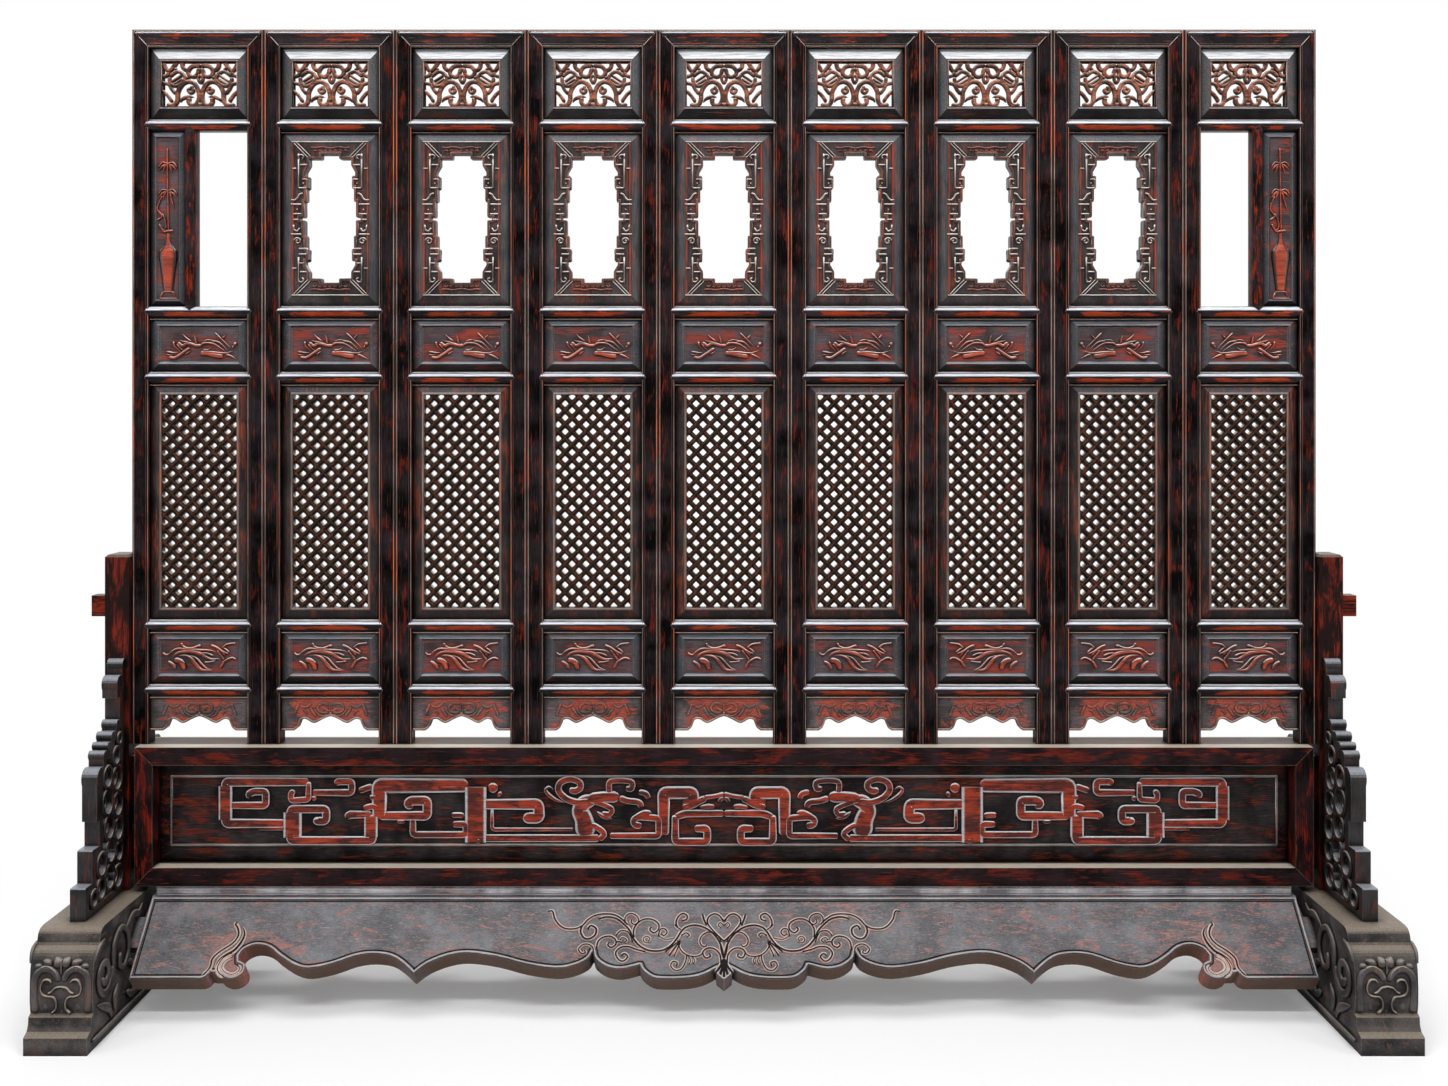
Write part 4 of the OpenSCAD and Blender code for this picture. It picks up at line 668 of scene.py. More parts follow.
fretCurls = [
    (17, [(-336, 26), (-366, 22), (-396, 32), (-414, 52), (-408, 72), (-384, 80), (-362, 72), (-360, 58),
          (-374, 50), (-386, 56)]),
    (9, [(-396, 20), (-424, 30), (-446, 50), (-438, 60), (-426, 52)], {"ends": "leaf"}),
    (52, [(-344, -66), (-350, -24), (-360, 2), (-346, 22), (-318, 26)], {"widths": [62, 48, 42, 38, 30]}),
    (29, [(-340, 30), (-300, 35), (-262, 35)]),
    (15, [(-286, 44), (-284, 74), (-234, 74), (-232, 56), (-246, 58)]),
    (14, [(-328, 24), (-306, 18), (-282, 6), (-286, -8), (-306, -6)]),
    (11, [(-318, -2), (-300, -14), (-280, -20)], {"ends": "leaf"}),
    (15, [(-334, -32), (-312, -44), (-300, -58), (-314, -72)]),
    (16, [(-262, 34), (-242, 26), (-214, 22), (-206, 8)]),
    (14, [(-214, 48), (-196, 44), (-188, 30)]),
    (17, [(-224, -20), (-200, -6), (-182, -8)]),
    (26, [(-590, 56), (-566, 60)]), (16, [(-566, 44), (-556, 40)]), (14, [(-622, -74), (-606, -76)]),
    (13, [(-1032, 30), (-1020, 34)]), (16, [(-914, 50), (-892, 58), (-878, 62)]),
    (12, [(-886, 38), (-876, 34), (-868, 40)]), (16, [(-902, 6), (-878, 12), (-868, 4)]),
    (14, [(-682, -10), (-660, -10), (-650, -14)]), (10, [(-818, -26), (-798, -26)]),
    (18, [(-104, 8), (-78, 16), (-60, 26), (-44, 32)]), (12, [(-60, 8), (-40, 12), (-24, 10)]),
    (11, [(-50, 34), (-20, 38), (0, 44)]), (10, [(-12, 22), (-8, 30), (0, 33)]),
]


def carveLongPanel():
    middle = (longPanel["low"] + longPanel["high"]) / 2
    x = longPanel["halfWidth"] - longPanel["beadInset"]
    z = middle - longPanel["low"] - longPanel["beadInset"]
    bands = drawing(fretBands, longPanel["rise"], mirror=True, smooth=False, radius=longPanel["radius"])
    curls = drawing(fretCurls, longPanel["rise"] + longPanel["curlProud"], mirror=True)
    bead = drawing([(longPanel["bead"], [(-x, -z), (x, -z), (x, z), (-x, z)], {"closed": True})],
                   longPanel["beadRise"], smooth=False, radius=1)
    flat = [sweep("longBands", bands, finishes["carving"], 16, 0.36),
            sweep("longCurls", curls, finishes["carving"], 12, 0.6),
            sweep("longBead", bead, finishes["panelBead"], 8)]
    for side, place in (("front", front(0, -longPanel["face"], middle)),
                        ("back", back(0, longPanel["face"], middle))):
        piece(f"long_panel_{side}_carving", [(mesh, place) for mesh in flat], "stand")


carveLongPanel()
print("long panel carved")


# Leaves: moulded panels, reliefs, pierced scrolls, lattice ridges and beads

def mouldedPanel(name, width, height, steps, border, look, field="", pierced=False):
    # Rings of a mitred border, each a share of the border's width inwards and a height above the
    # middle of the panel, alike in front and behind, closed by a field or a square opening
    mesh = bpy.data.meshes.new(name)
    points, faces = [], []
    rings = [(share, -rise) for share, rise in reversed(steps)] + list(steps)
    for share, rise in rings:
        x, y = width / 2 - share * border[0], height / 2 - share * border[1]
        points += [(sx * x * mm, sy * y * mm, rise * mm) for sx, sy in ((-1, -1), (1, -1), (1, 1), (-1, 1))]
    for ring in range(len(rings) - 1):
        for k in range(4):
            a, b = ring * 4 + k, ring * 4 + (k + 1) % 4
            faces.append((a, b, b + 4, a + 4))
    last = len(points) - 4
    if pierced:
        faces += [(last + k, last + (k + 1) % 4, (k + 1) % 4, k) for k in range(4)]
    else:
        faces += [(3, 2, 1, 0), (last, last + 1, last + 2, last + 3)]
    mesh.from_pydata(points, [], faces)
    mesh.materials.append(finishes[look])
    if field:
        mesh.materials.append(finishes[field])
        for polygon in mesh.polygons[-2:]:
            polygon.material_index = 1
    return mesh


def board(name, outline, thickness, material, bevel=1.2):
    # A sawn board: a flat outline given a thickness about the ground, with its edges eased
    shape = bmesh.new()
    face = shape.faces.new([shape.verts.new((x * mm, y * mm, -thickness / 2 * mm)) for x, y in outline])
    grown = bmesh.ops.extrude_face_region(shape, geom=[face])["geom"]
    bmesh.ops.translate(shape, verts=[v for v in grown if isinstance(v, bmesh.types.BMVert)],
                        vec=(0, 0, thickness * mm))
    bmesh.ops.recalc_face_normals(shape, faces=shape.faces)
    rims = [e for e in shape.edges if abs(e.verts[0].co.z - e.verts[1].co.z) < 1e-7]
    bmesh.ops.bevel(shape, geom=rims, offset=bevel * mm, segments=2, affect="EDGES", profile=0.6)
    mesh = bpy.data.meshes.new(name)
    shape.to_mesh(mesh)
    shape.free()
    mesh.materials.append(material)
    return mesh


def ringLine(width, height, inset):
    # The outline of an opening, moved inwards
    x, y = width / 2 - inset, height / 2 - inset
    return [(-x, -y), (x, -y), (x, y), (-x, y)]


# Mouldings from the edge of a panel inwards, each step a share of the border's width and a height, and
# how wide the borders are at the sides and at top and bottom
panelSteps = [(-0.3, 6), (0, 6), (0.05, 7.4), (0.76, 12.2), (0.85, 14.3), (0.92, 14.4), (1.07, 11.2), (1.1, 10.9),
              (1.13, 11.8), (1.17, 10.2)]
openSteps = [(-0.3, 6), (0, 6), (0.05, 7.4), (0.78, 12.8), (0.86, 14.3), (0.94, 14.6), (1.0, 13.8)]
borders = {"panel": (23, 23), "openwork": (26, 31), "vase": (16, 16), "lattice": (29.4, 29.4)}

# Branches are carved wider than drawn, and thin ones run out in a tail
carvedRelief = {"widen": 1.3, "rise": 6, "taperBelow": 6, "vaseRise": 4}

# Plum branch of the upper panels, from the middle of the field
branchStrokes = [
    (6.5, [(-53, 6), (-42, -3), (-28, 3), (-8, -2), (6, -2)]),
    (4.5, [(4, -3), (13, 4), (34, 3), (50, -6), (66, -17)]),
    (5, [(-6, 0), (-9, 12), (-13, 25)]), (3.2, [(-20, 8), (-32, 17), (-42, 27)]),
    (3, [(-24, 7), (-38, 8), (-49, 12)]), (10, [(3, -22), (20, -22), (40, -27), (60, -30)]),
    (4.5, [(8, -17), (36, -19), (64, -21), (80, -17), (93, -13)]),
    (4, [(67, -23), (80, -29), (93, -35)]), (3, [(40, 30), (60, 10), (80, -9)]),
    (2.6, [(57, 14), (62, 20), (68, 27)]),
    (3, [(30, 9), (50, 6), (71, -14)]), (6, [(-76, -31), (-61, -33), (-44, -23), (-24, -9)]),
    (4, [(-82, -17), (-66, -20), (-52, -19)]), (4, [(-65, 8), (-60, -5), (-46, -18)]),
    (3, [(-56, 2), (-48, -8), (-38, -16)]), (3.4, [(-36, -26), (-28, -20), (-20, -14)]),
    (8, [(86, 4), (90, 1), (92, -3)]), (3.4, [(83, -9), (86, -4), (90, 0)]), (2.8, [(9, -12), (22, -12), (33, -4)]),
    (2.6, [(10, 8), (22, 12), (40, 11)]), (2.6, [(-82, -24), (-72, -26), (-62, -25)]),
]
# Orchid of the lower panels
orchidStrokes = [
    (8, [(-69, -2), (-58, 9), (-42, 14), (-19, 14), (3, 9), (17, 0), (31, -5), (51, -3)], {"ends": "leaf"}),
    (5, [(-84, -3), (-75, 9), (-64, 18), (-51, 22), (-26, 20), (3, 19), (31, 17), (44, 11)], {"ends": "leaf"}),
    (7, [(-52, 5), (-33, 4), (-19, -4), (-8, -18), (6, -31), (32, -32)], {"ends": "leaf"}),
    (3.4, [(-26, 5), (-8, -1), (7, -17), (18, -27), (31, -31)], {"ends": "leaf"}),
    (11, [(-63, -7), (-50, -9), (-41, -18), (-37, -32)]), (6, [(-78, -10), (-66, -18), (-58, -30)]),
    (4, [(-45, 36), (-39, 27), (-26, 23), (-12, 25), (2, 31)]), (6, [(-4, 27), (4, 30)]),
    (4.5, [(30, 31), (44, 25), (58, 14), (65, 5)]), (3.4, [(58, 23), (70, 33), (92, 36)]),
    (3.6, [(60, -12), (75, -3), (84, -1), (93, -6)]), (5, [(52, -27), (58, -18), (64, -9)]),
    (3.4, [(45, 18), (54, 6), (64, -8)]), (3.4, [(52, 20), (62, 14), (74, 9)]), (3, [(62, 24), (70, 18), (76, 12)]),
    (3, [(8, 11), (22, 10), (35, 4)]), (3, [(-90, 12), (-84, 7), (-76, 8)]), (2.6, [(14, -12), (28, -11), (40, -9)]),
]
# Clouds of the leg boards, drawn for their left half
cloudStrokes = [
    (7, [(-4, -24), (-20, -20), (-32, -28), (-29, -40), (-16, -44), (-6, -40)]),
    (6, [(-3, -40), (-14, -34), (-20, -31)]),
    (8, [(-52, -30), (-44, -42), (-36, -54)]), (5, [(-40, -36), (-32, -46), (-20, -52), (-8, -48)]),
    (7, [(-80, -22), (-86, -36), (-92, -52)]), (6, [(-78, -24), (-66, -30), (-56, -27), (-48, -20)]),
    (4, [(-70, -38), (-62, -42), (-58, -50)]), (3, [(-2, -22), (-2, -44)]),
]
# Vase with a palm in it, on the tall panels of the end leaves
vaseStrokes = [
    (42, [(1, -180), (1, -150), (1, -100), (1, -82), (1, -62), (1, -36)],
     {"widths": [24, 31, 46, 45, 15, 7], "ends": "cut", "rise": 6}),
    (5, [(-1, 176), (0, 80), (2, -34)]), (5, [(14, -30), (0, -31), (-10, -32), (-22, -14)]),
    (4, [(-14, -34), (-4, -20), (-9, 4), (-16, 12)]), (4.5, [(-28, -4), (-14, 6), (-26, 26), (-14, 56)]),
    (3.5, [(-13, -184), (12, -184), (17, -194)]), (3.5, [(-12, -185), (-20, -200), (24, -200)], {"smooth": False}),
    (5, [(4, 60), (12, 40), (17, 20)], {"ends": "leaf"}),
]
for tuftZ in (138, 70):
    vaseStrokes += [(3.5, [(-23, tuftZ - 10), (-13, tuftZ + 3), (0, tuftZ), (13, tuftZ + 3), (24, tuftZ - 10)])]
    vaseStrokes += [(5.5, [(0, tuftZ - 1), (x * 0.5, tuftZ - 6), (x, tuftZ - drop)], {"ends": "leaf"})
                    for x, drop in ((-24, 20), (-13, 25), (11, 25), (24, 17))]
# Pierced scrolls of the top panels, drawn for the left half of their opening, with a bead round it
scroll = {"widen": 1.6, "thickness": 16}
openLine = {"width": 194, "height": 118, "inset": 1, "bead": 5, "rise": 3, "face": 12}
scrollStrokes = [
    (7.5, [(-85, -47), (-76, -52), (-64, -49), (-58, -38), (-57, -19), (-49, -3), (-40, 5), (-28, 8), (-16, 3),
           (-9, -7), (-4, -22), (-4, -36), (-10, -48), (-19, -52), (-27, -48), (-30, -40), (-26, -32)]),
    (7, [(0, 46), (-10, 48), (-23, 45), (-31, 34), (-28, 24), (-17, 20), (-8, 26), (-5, 36), (0, 42)]),
    (5, [(0, 26), (-6, 15), (0, 2)]), (6.5, [(-52, -44), (-45, -35), (-31, -30), (-18, -30)], {"ends": "leaf"}),
    (5.5, [(-25, -8), (-31, -14), (-25, -21), (-18, -16), (-22, -8), (-21, -2)]),
    (6, [(-78, 20), (-60, 33), (-45, 27), (-39, 14), (-51, 1), (-66, -3), (-77, 6), (-78, 20)]),
    (4.5, [(-71, 8), (-48, 23)], {"ends": "cut"}), (4.5, [(-66, 1), (-45, 14)], {"ends": "cut"}),
    (7, [(-96, 57), (-79, 34), (-58, 60)]), (6, [(-79, 34), (-83, 24), (-98, 19)]),
    (7, [(-33, 60), (-45, 56), (-44, 43), (-33, 34)]), (6, [(-98, 5), (-80, 1), (-72, -12), (-62, -24)]),
    (6, [(-98, -15), (-88, -21), (-78, -33), (-72, -44)]), (5, [(-45, 27), (-38, 20), (-28, 16)]),
    (6, [(-4, -44), (0, -58)]), (5, [(-40, 6), (-36, 16)]), (5, [(-60, 33), (-64, 44)]),
    (6, [(-64, -50), (-70, -60)]),
]
# Fret of the medallions, drawn for the left half of their border
fretStrokes = [
    (5, [(-96, 125), (-84, 125)]), (6, [(-76, 134), (-56, 134)]),
    (5, [(-79, 163), (-79, 76), (-57, 76), (-57, 98), (-70, 98)]),
    (4.5, [(-79, 147), (-79, 158), (-70, 160), (-65, 153), (-71, 148)]), (6, [(-69, 87), (-65, 88)]),
    (5.5, [(-68, 63), (-76, 61), (-81, 52), (-88, 45), (-98, 47)]), (6.5, [(-99, 35), (-71, 35)]),
    (6, [(-93, 11), (-71, 11)]), (5, [(-85, 22), (-81, 22)]), (5.5, [(-93, -3), (-78, -3)]),
    (5, [(-92, -15), (-91, -29), (-81, -33), (-76, -23)]), (6.5, [(-99, -40), (-71, -40)]),
    (4.5, spiral((-81, -57), 10, 2, 0.5, -1.3), {"smooth": True}),
    (6, [(-79, -76), (-57, -76), (-57, -90), (-79, -90)]), (5, [(-79, -96), (-79, -163)]),
    (6, [(-76, -134), (-56, -134)]), (5, [(-96, -125), (-84, -125)]),
    (4.5, [(-79, -147), (-79, -158), (-70, -160), (-65, -153), (-71, -148)]), (4.5, [(-79, -112), (-64, -112)]),
]
# Edge of the stepped window, a quarter of it
medallionLine = [(0, 161), (22.7, 161), (22.7, 150), (53, 150), (53, 132), (63, 115), (63, 101), (55, 101), (55, 78),
                 (60, 78), (60, 43), (65, 43), (65, 4), (77, 4)]
medallion = {"face": 14, "fretRise": 3.8, "rim": 7, "rimOut": 3, "rimRise": 3.2, "cloudRise": 3.2,
             "paleRise": 3.4, "redRise": 2.6}


def medallionCarving():
    strokes = drawing(fretStrokes, medallion["fretRise"], mirror=True, smooth=False, radius=4)
    right = [(x + medallion["rimOut"], y + medallion["rimOut"]) for x, y in medallionLine[1:]]
    rim = right + [(x, -y) for x, y in reversed(right)]
    rim += [(-x, y) for x, y in reversed(rim)]
    # Waves and small curls above and below the window, lines along the border and over its mitres
    clouds = [(4.5, [(-50, 178), (-36, 177), (-20, 179), (0, 176), (20, 179), (36, 177), (50, 178)])]
    clouds += [(4, [(x, 168), (x + 5, 171), (x + 10, 167)]) for x in (-43, -30, -17, -5, 8, 21, 34)]
    clouds += [(w, [(x, -y) for x, y in p]) for w, p in clouds]
    pale, red = [], []
    for side in (-1, 1):
        pale.append((3.6, [(-96, side * 192), (96, side * 192)], {"ends": "cut"}))
        red.append((6, [(side * 94, -189), (side * 94, 189)], {"ends": "cut"}))
        for end in (-1, 1):
            pale += [(2.4, [(side * 91, end * 189), (side * 56, end * 153)], {"ends": "cut"}),
                     (2.4, [(side * 86, end * 192.5), (side * 50, end * 156.5)], {"ends": "cut"})]
    rimBead = drawing([(medallion["rim"], rim, {"closed": True, "radius": 1.2})], medallion["rimRise"], smooth=False)
    return [sweep("fret", strokes, finishes["fret"], 8, 0.6),
            sweep("fretClouds", drawing(clouds, medallion["cloudRise"]), finishes["redLine"], 8, 0.8),
            sweep("fretRim", rimBead, finishes["rimBead"], 12, 0.5),
            sweep("fretPale", drawing(pale, medallion["paleRise"], smooth=False), finishes["paleLine"], 8, 0.8),
            sweep("fretRed", drawing(red, medallion["redRise"], smooth=False), finishes["redLine"], 8, 0.6)]


# Lattice: ridges along the bars of both slopes, in front and behind. The bars of one slope lie a
# little higher, so that those of the other pass under them.
latticeLook = {"width": 188, "height": 534, "spacing": 35, "bars": 20, "bar": 6.4, "rise": 3.0, "face": 9.6,
               "over": 0.3, "bead": 3.5, "beadOut": 3, "beadRise": 2.4, "beadFace": 12.6}
latticeSizes = {"Width": "width", "Height": "height", "Spacing": "spacing", "Bar width": "bar", "Rise": "rise",
                "Face": "face", "Over": "over"}


def latticeTree():
    tree = bpy.data.node_groups.new("latticeRidges", "GeometryNodeTree")
    tree.interface.new_socket("Base", in_out="INPUT", socket_type="NodeSocketGeometry")
    tree.interface.new_socket("Bars", in_out="INPUT", socket_type="NodeSocketInt")
    for name in latticeSizes:
        tree.interface.new_socket(name, in_out="INPUT", socket_type="NodeSocketFloat")
    tree.interface.new_socket("Material", in_out="INPUT", socket_type="NodeSocketMaterial")
    tree.interface.new_socket("Ridges", in_out="OUTPUT", socket_type="NodeSocketGeometry")
    given = addNode(tree, "NodeGroupInput").outputs
    # Points come in pairs, a pair for each bar, for two slopes in front and two behind; "Base", the
    # modifier's own mesh, stays empty. Each row below is one step of working out where the points lie:
    # its name, the operation and what goes in.
    values = {name: given[name] for name in ("Bars", *latticeSizes)}
    values["index"] = addNode(tree, "GeometryNodeInputIndex").outputs[0]
    for name, operation, *inputs in (
            ("end", "MODULO", "index", 2.0), ("pair", "DIVIDE", "index", 2.0), ("line", "FLOOR", "pair"),
            ("bar", "MODULO", "line", "Bars"), ("set", "DIVIDE", "line", "Bars"), ("group", "FLOOR", "set"),
            ("second", "MODULO", "group", 2.0), ("slope", "MULTIPLY_ADD", "second", -2.0, 1.0),
            ("half", "DIVIDE", "group", 2.0), ("behind", "FLOOR", "half"),
            ("side", "MULTIPLY_ADD", "behind", -2.0, 1.0), ("gaps", "SUBTRACT", "Bars", 1.0),
            ("middle", "MULTIPLY", "gaps", 0.5), ("step", "SUBTRACT", "bar", "middle"),
            ("offset", "MULTIPLY", "step", "Spacing"), ("right", "MULTIPLY", "Width", 0.5),
            ("left", "MULTIPLY", "right", -1.0), ("top", "MULTIPLY", "Height", 0.5),
            ("bottom", "MULTIPLY", "top", -1.0), ("below", "SUBTRACT", "bottom", "offset"),
            ("above", "SUBTRACT", "top", "offset"), ("low", "MAXIMUM", "left", "below"),
            ("high", "MINIMUM", "right", "above"), ("length", "SUBTRACT", "high", "low"),
            ("along", "MULTIPLY_ADD", "length", "end", "low"), ("x", "MULTIPLY", "along", "slope"),
            ("y", "ADD", "along", "offset"), ("raised", "MULTIPLY_ADD", "slope", "Over", "Face"),
            ("z", "MULTIPLY", "raised", "side"), ("count", "MULTIPLY", "Bars", 8.0),
            ("halfBar", "MULTIPLY", "Bar width", 0.5)):
        values[name] = addNode(tree, "ShaderNodeMath", {i: values.get(v, v) for i, v in enumerate(inputs)},
                               operation=operation).outputs[0]
    place = addNode(tree, "ShaderNodeCombineXYZ", {0: values["x"], 1: values["y"], 2: values["z"]})
    points = addNode(tree, "GeometryNodePoints", {"Count": values["count"], "Position": place.outputs[0]})
    lines = addNode(tree, "GeometryNodePointsToCurves", {"Points": points.outputs[0],
                                                         "Curve Group ID": values["line"]})
    level = addNode(tree, "GeometryNodeSetCurveNormal", {"Curve": lines.outputs[0]}, mode="Z_UP")
    circle = addNode(tree, "GeometryNodeCurvePrimitiveCircle", {"Resolution": 10, "Radius": 1.0})
    shape = addNode(tree, "ShaderNodeCombineXYZ", {0: values["halfBar"], 1: given["Rise"], 2: 1.0})
    oval = addNode(tree, "GeometryNodeTransform", {"Geometry": circle.outputs[0], "Scale": shape.outputs[0]})
    swept = addNode(tree, "GeometryNodeCurveToMesh", {"Curve": level.outputs[0], "Profile Curve": oval.outputs[0],
                                                      "Fill Caps": True})
    smooth = addNode(tree, "GeometryNodeSetShadeSmooth", {"Geometry": swept.outputs[0]})
    real = addNode(tree, "GeometryNodeRealizeInstances", {0: smooth.outputs[0]})
    dressed = addNode(tree, "GeometryNodeSetMaterial", {"Geometry": real.outputs[0], "Material": given["Material"]})
    addNode(tree, "NodeGroupOutput", {0: dressed.outputs[0]})
    return tree


def latticeRidges():
    tree = latticeTree()
    base = bpy.data.meshes.new("latticeBase")
    holder = bpy.data.objects.new("latticeBase", base)
    bpy.context.scene.collection.objects.link(holder)
    modifier = holder.modifiers.new("ridges", "NODES")
    modifier.node_group = tree
    sockets = {item.name: item.identifier for item in tree.interface.items_tree if item.in_out == "INPUT"}
    modifier[sockets["Bars"]] = latticeLook["bars"]
    for name, key in latticeSizes.items():
        modifier[sockets[name]] = latticeLook[key] * mm
    modifier[sockets["Material"]] = finishes["ridge"]
    result = bpy.data.meshes.new_from_object(holder.evaluated_get(bpy.context.evaluated_depsgraph_get()))
    bpy.data.objects.remove(holder)
    return result


# Leg board: the corner of its lower edge and its scallop, above its lowest points
legBoard = {"depth": 89, "bud": 40, "thickness": 20, "face": 10, "corner": [(92, 0), (84, 6)],
            "scallop": [(80, 15), (76, 25), (67, 29), (58, 27), (44, 19), (34, 21), (23, 27), (10, 33), (0, 36)],
            "bead": 5.4, "beadInset": 3.2, "beadRise": 3.2, "cloudRise": 2.4}
# Tall vase panel and round mullion beside the window of each end leaf
endLeaf = {"vaseWidth": 88, "vaseAside": 79, "mullionWidth": 28.8, "mullionAside": 21, "mullionProud": 26}
# Beads on a leaf's frame: how far each lies from its edge, then widths and heights
frameBeads = {"opening": 2.5, "openingWidth": 2.6, "outer": 3.5, "outerWidth": 3.6, "openingRise": 1.9,
              "stile": 7.5, "stileWidth": 2.6, "stileRise": 1.6, "mitreWidth": 1.8, "mitreRise": 2.1,
              "rollDown": 11.5, "rollShort": 10, "rollWidth": 13, "rollRise": 2.8}
# Lines along each rail: a pale fillet on its upper edge, a dark line painted as a shaded groove before that and a
# bead below the rail
railLines = {"short": 0.5, "fillet": 1, "filletWidth": 2, "filletLift": 9, "filletRise": 3.5, "groove": 4.6,
             "grooveWidth": 2.2, "grooveLift": 13.5, "grooveRise": 3.2, "bead": 5, "beadWidth": 2.4,
             "beadRise": 11, "behind": 6}


def legBoardLine():
    # Lower edge of the leg board, from its right end to its left
    half = legBoard["corner"] + [tuple(p) for p in curved(legBoard["scallop"], 3)]
    low = railZ[0] - legBoard["depth"]
    right = [(innerHalf, low)] + [(x, low + y) for x, y in half]
    return right + [(-x, y) for x, y in reversed(right[:-1])]


def panelMeshes():
    # The carved panels of a leaf, each drawn about its own middle
    field = panelSteps[-1][1]
    made = {}
    for name in ("upper", "lower"):
        made[name] = mouldedPanel(name + "Panel", innerWidth, leaf[name + "Panel"], panelSteps, borders["panel"],
                                  "panel", "field")
    made["openwork"] = mouldedPanel("openworkFrame", innerWidth, leaf["openwork"], openSteps,
                                    borders["openwork"], "openFrame", pierced=True)
    made["vase"] = mouldedPanel("vasePanel", endLeaf["vaseWidth"], leaf["medallion"], panelSteps,
                                borders["vase"], "panel", "field")
    plumStrokes = [(w, p, {"ends": "tail" if w < carvedRelief["taperBelow"] else "round"}) for w, p in branchStrokes]
    for name, strokes in (("branch", plumStrokes), ("orchid", orchidStrokes)):
        for side in (1, -1):
            drawn = drawing(widened(strokes, carvedRelief["widen"], side=side), carvedRelief["rise"], field)
            made[name, side] = sweep(name, drawn, finishes["branch"])
    made["vaseCarving"] = sweep("vase", drawing(vaseStrokes, carvedRelief["vaseRise"], field), finishes["branch"],
                                10, 0.8)
    pierced = drawing(widened(scrollStrokes, scroll["widen"]), scroll["thickness"], -scroll["thickness"] / 2,
                      sink=0, mirror=True)
    made["scrolls"] = sweep("scrolls", pierced, finishes["pierced"], 12, 0.8)
    ring = ringLine(openLine["width"], openLine["height"], openLine["inset"])
    made["openLine"] = sweep("openworkLine", drawing([(openLine["bead"], ring, {"closed": True, "radius": 0.5})],
                                                     openLine["rise"], openLine["face"], smooth=False),
                             finishes["rimBead"])
    half = leaf["medallion"] / 2 + 1
    rod = drawing([(endLeaf["mullionWidth"], [(0, -half), (0, half)], {"ends": "cut"})], endLeaf["mullionProud"],
                  sink=endLeaf["mullionProud"])
    made["mullion"] = sweep("mullion", rod, finishes["mullion"], 20, 0.6)
    return made


def legBoardMeshes():
    # The sawn board, the clouds on it and the bead along its scallop with a bud in the middle
    line = legBoardLine()
    legs = board("legBoard", [(innerHalf, railZ[0])] + line + [(-innerHalf, railZ[0])], legBoard["thickness"],
                 finishes["legBoard"])
    clouds = sweep("clouds", drawing(cloudStrokes, legBoard["cloudRise"], mirror=True), finishes["legCarving"],
                   8, 0.7)
    bud = railZ[0] - legBoard["depth"] + legBoard["bud"]
    beads = drawing([(legBoard["bead"], [(x, y + legBoard["beadInset"]) for x, y in line],
                      {"ends": "cut", "radius": 2}),
                     (7, [(0, bud - 4), (0, bud + 8)], {"ends": "leaf", "smooth": True})],
                    legBoard["beadRise"], smooth=False)
    return legs, clouds, sweep("scallopBead", beads, finishes["tanBead"])


def latticeMeshes():
    # The ridges of both faces, their mitred border, and the bead inside it for one face
    ridges = latticeRidges()
    border = mouldedPanel("latticeFrame", innerWidth, leaf["lattice"], openSteps, borders["lattice"],
                          "latticeBorder", pierced=True)
    ring = ringLine(latticeLook["width"], latticeLook["height"], -latticeLook["beadOut"])
    bead = drawing([(latticeLook["bead"], ring, {"closed": True, "radius": 0.5})], latticeLook["beadRise"],
                   latticeLook["beadFace"], smooth=False)
    return ridges, border, sweep("latticeLine", bead, finishes["tanBead"])


def archLine(width, side, top):
    # Up one stile, across the top rail and down the other
    return width, [(-side, ledgeZ + 1), (-side, top), (side, top), (side, ledgeZ + 1)], {"ends": "cut", "radius": 1}


def frameBeadMeshes():
    # Beads round the openings, along the stiles and on the mitres, and the roll along the top with the rails' painted
    # highlight
    outer, top = leaf["width"] / 2, railZ[-1] + leaf["rail"] + leaf["openwork"]
    roll = outer - frameBeads["rollShort"]
    rollZ = leafTop - frameBeads["rollDown"]
    arches = [archLine(frameBeads["openingWidth"], innerHalf + frameBeads["opening"], top + frameBeads["opening"]),
              archLine(frameBeads["outerWidth"], outer - frameBeads["outer"], leafTop - frameBeads["outer"])]
    stiles = [archLine(frameBeads["stileWidth"], innerHalf + frameBeads["stile"], top + frameBeads["stile"])]
    mitres = [(frameBeads["mitreWidth"], [(side * (outer - 5), leafTop - 5), (side * (innerHalf + 4), top + 4)],
               {"ends": "cut"}) for side in (-1, 1)]
    rolls = [(frameBeads["rollWidth"], [(-roll, rollZ), (roll, rollZ)], {"ends": "cut"})]
    return [sweep("mitreLines", drawing(mitres, frameBeads["mitreRise"], layer=0), finishes["paleLine"]),
            sweep("topRoll", drawing(rolls, frameBeads["rollRise"], layer=0), finishes["rail"], 14),
            sweep("openingBead", drawing(arches, frameBeads["openingRise"], smooth=False, layer=0),
                  finishes["tanBead"]),
            sweep("stileBead", drawing(stiles, frameBeads["stileRise"], smooth=False, layer=0), finishes["bead"])]


def acrossLines(name, levels):
    # One line across the leaf at each level
    reach = innerHalf - railLines["short"]
    return drawing([(railLines[name + "Width"], [(-reach, z), (reach, z)],
                     {"ends": "cut", "lift": railLines.get(name + "Lift", 0.0)}) for z in levels],
                   railLines[name + "Rise"], layer=0)


def railLineMeshes(above, below):
    # Lines above and below the rails whose undersides are given
    tops = [z + leaf["rail"] for z in above]
    return [sweep("railFillet", acrossLines("fillet", [z - railLines["fillet"] for z in tops]),
                  finishes["paleLine"], 10),
            sweep("railGroove", acrossLines("groove", [z - railLines["groove"] for z in tops]),
                  finishes["groove"], 8),
            sweep("railLine", acrossLines("bead", [z - railLines["bead"] for z in below]), finishes["tanBead"], 10)]


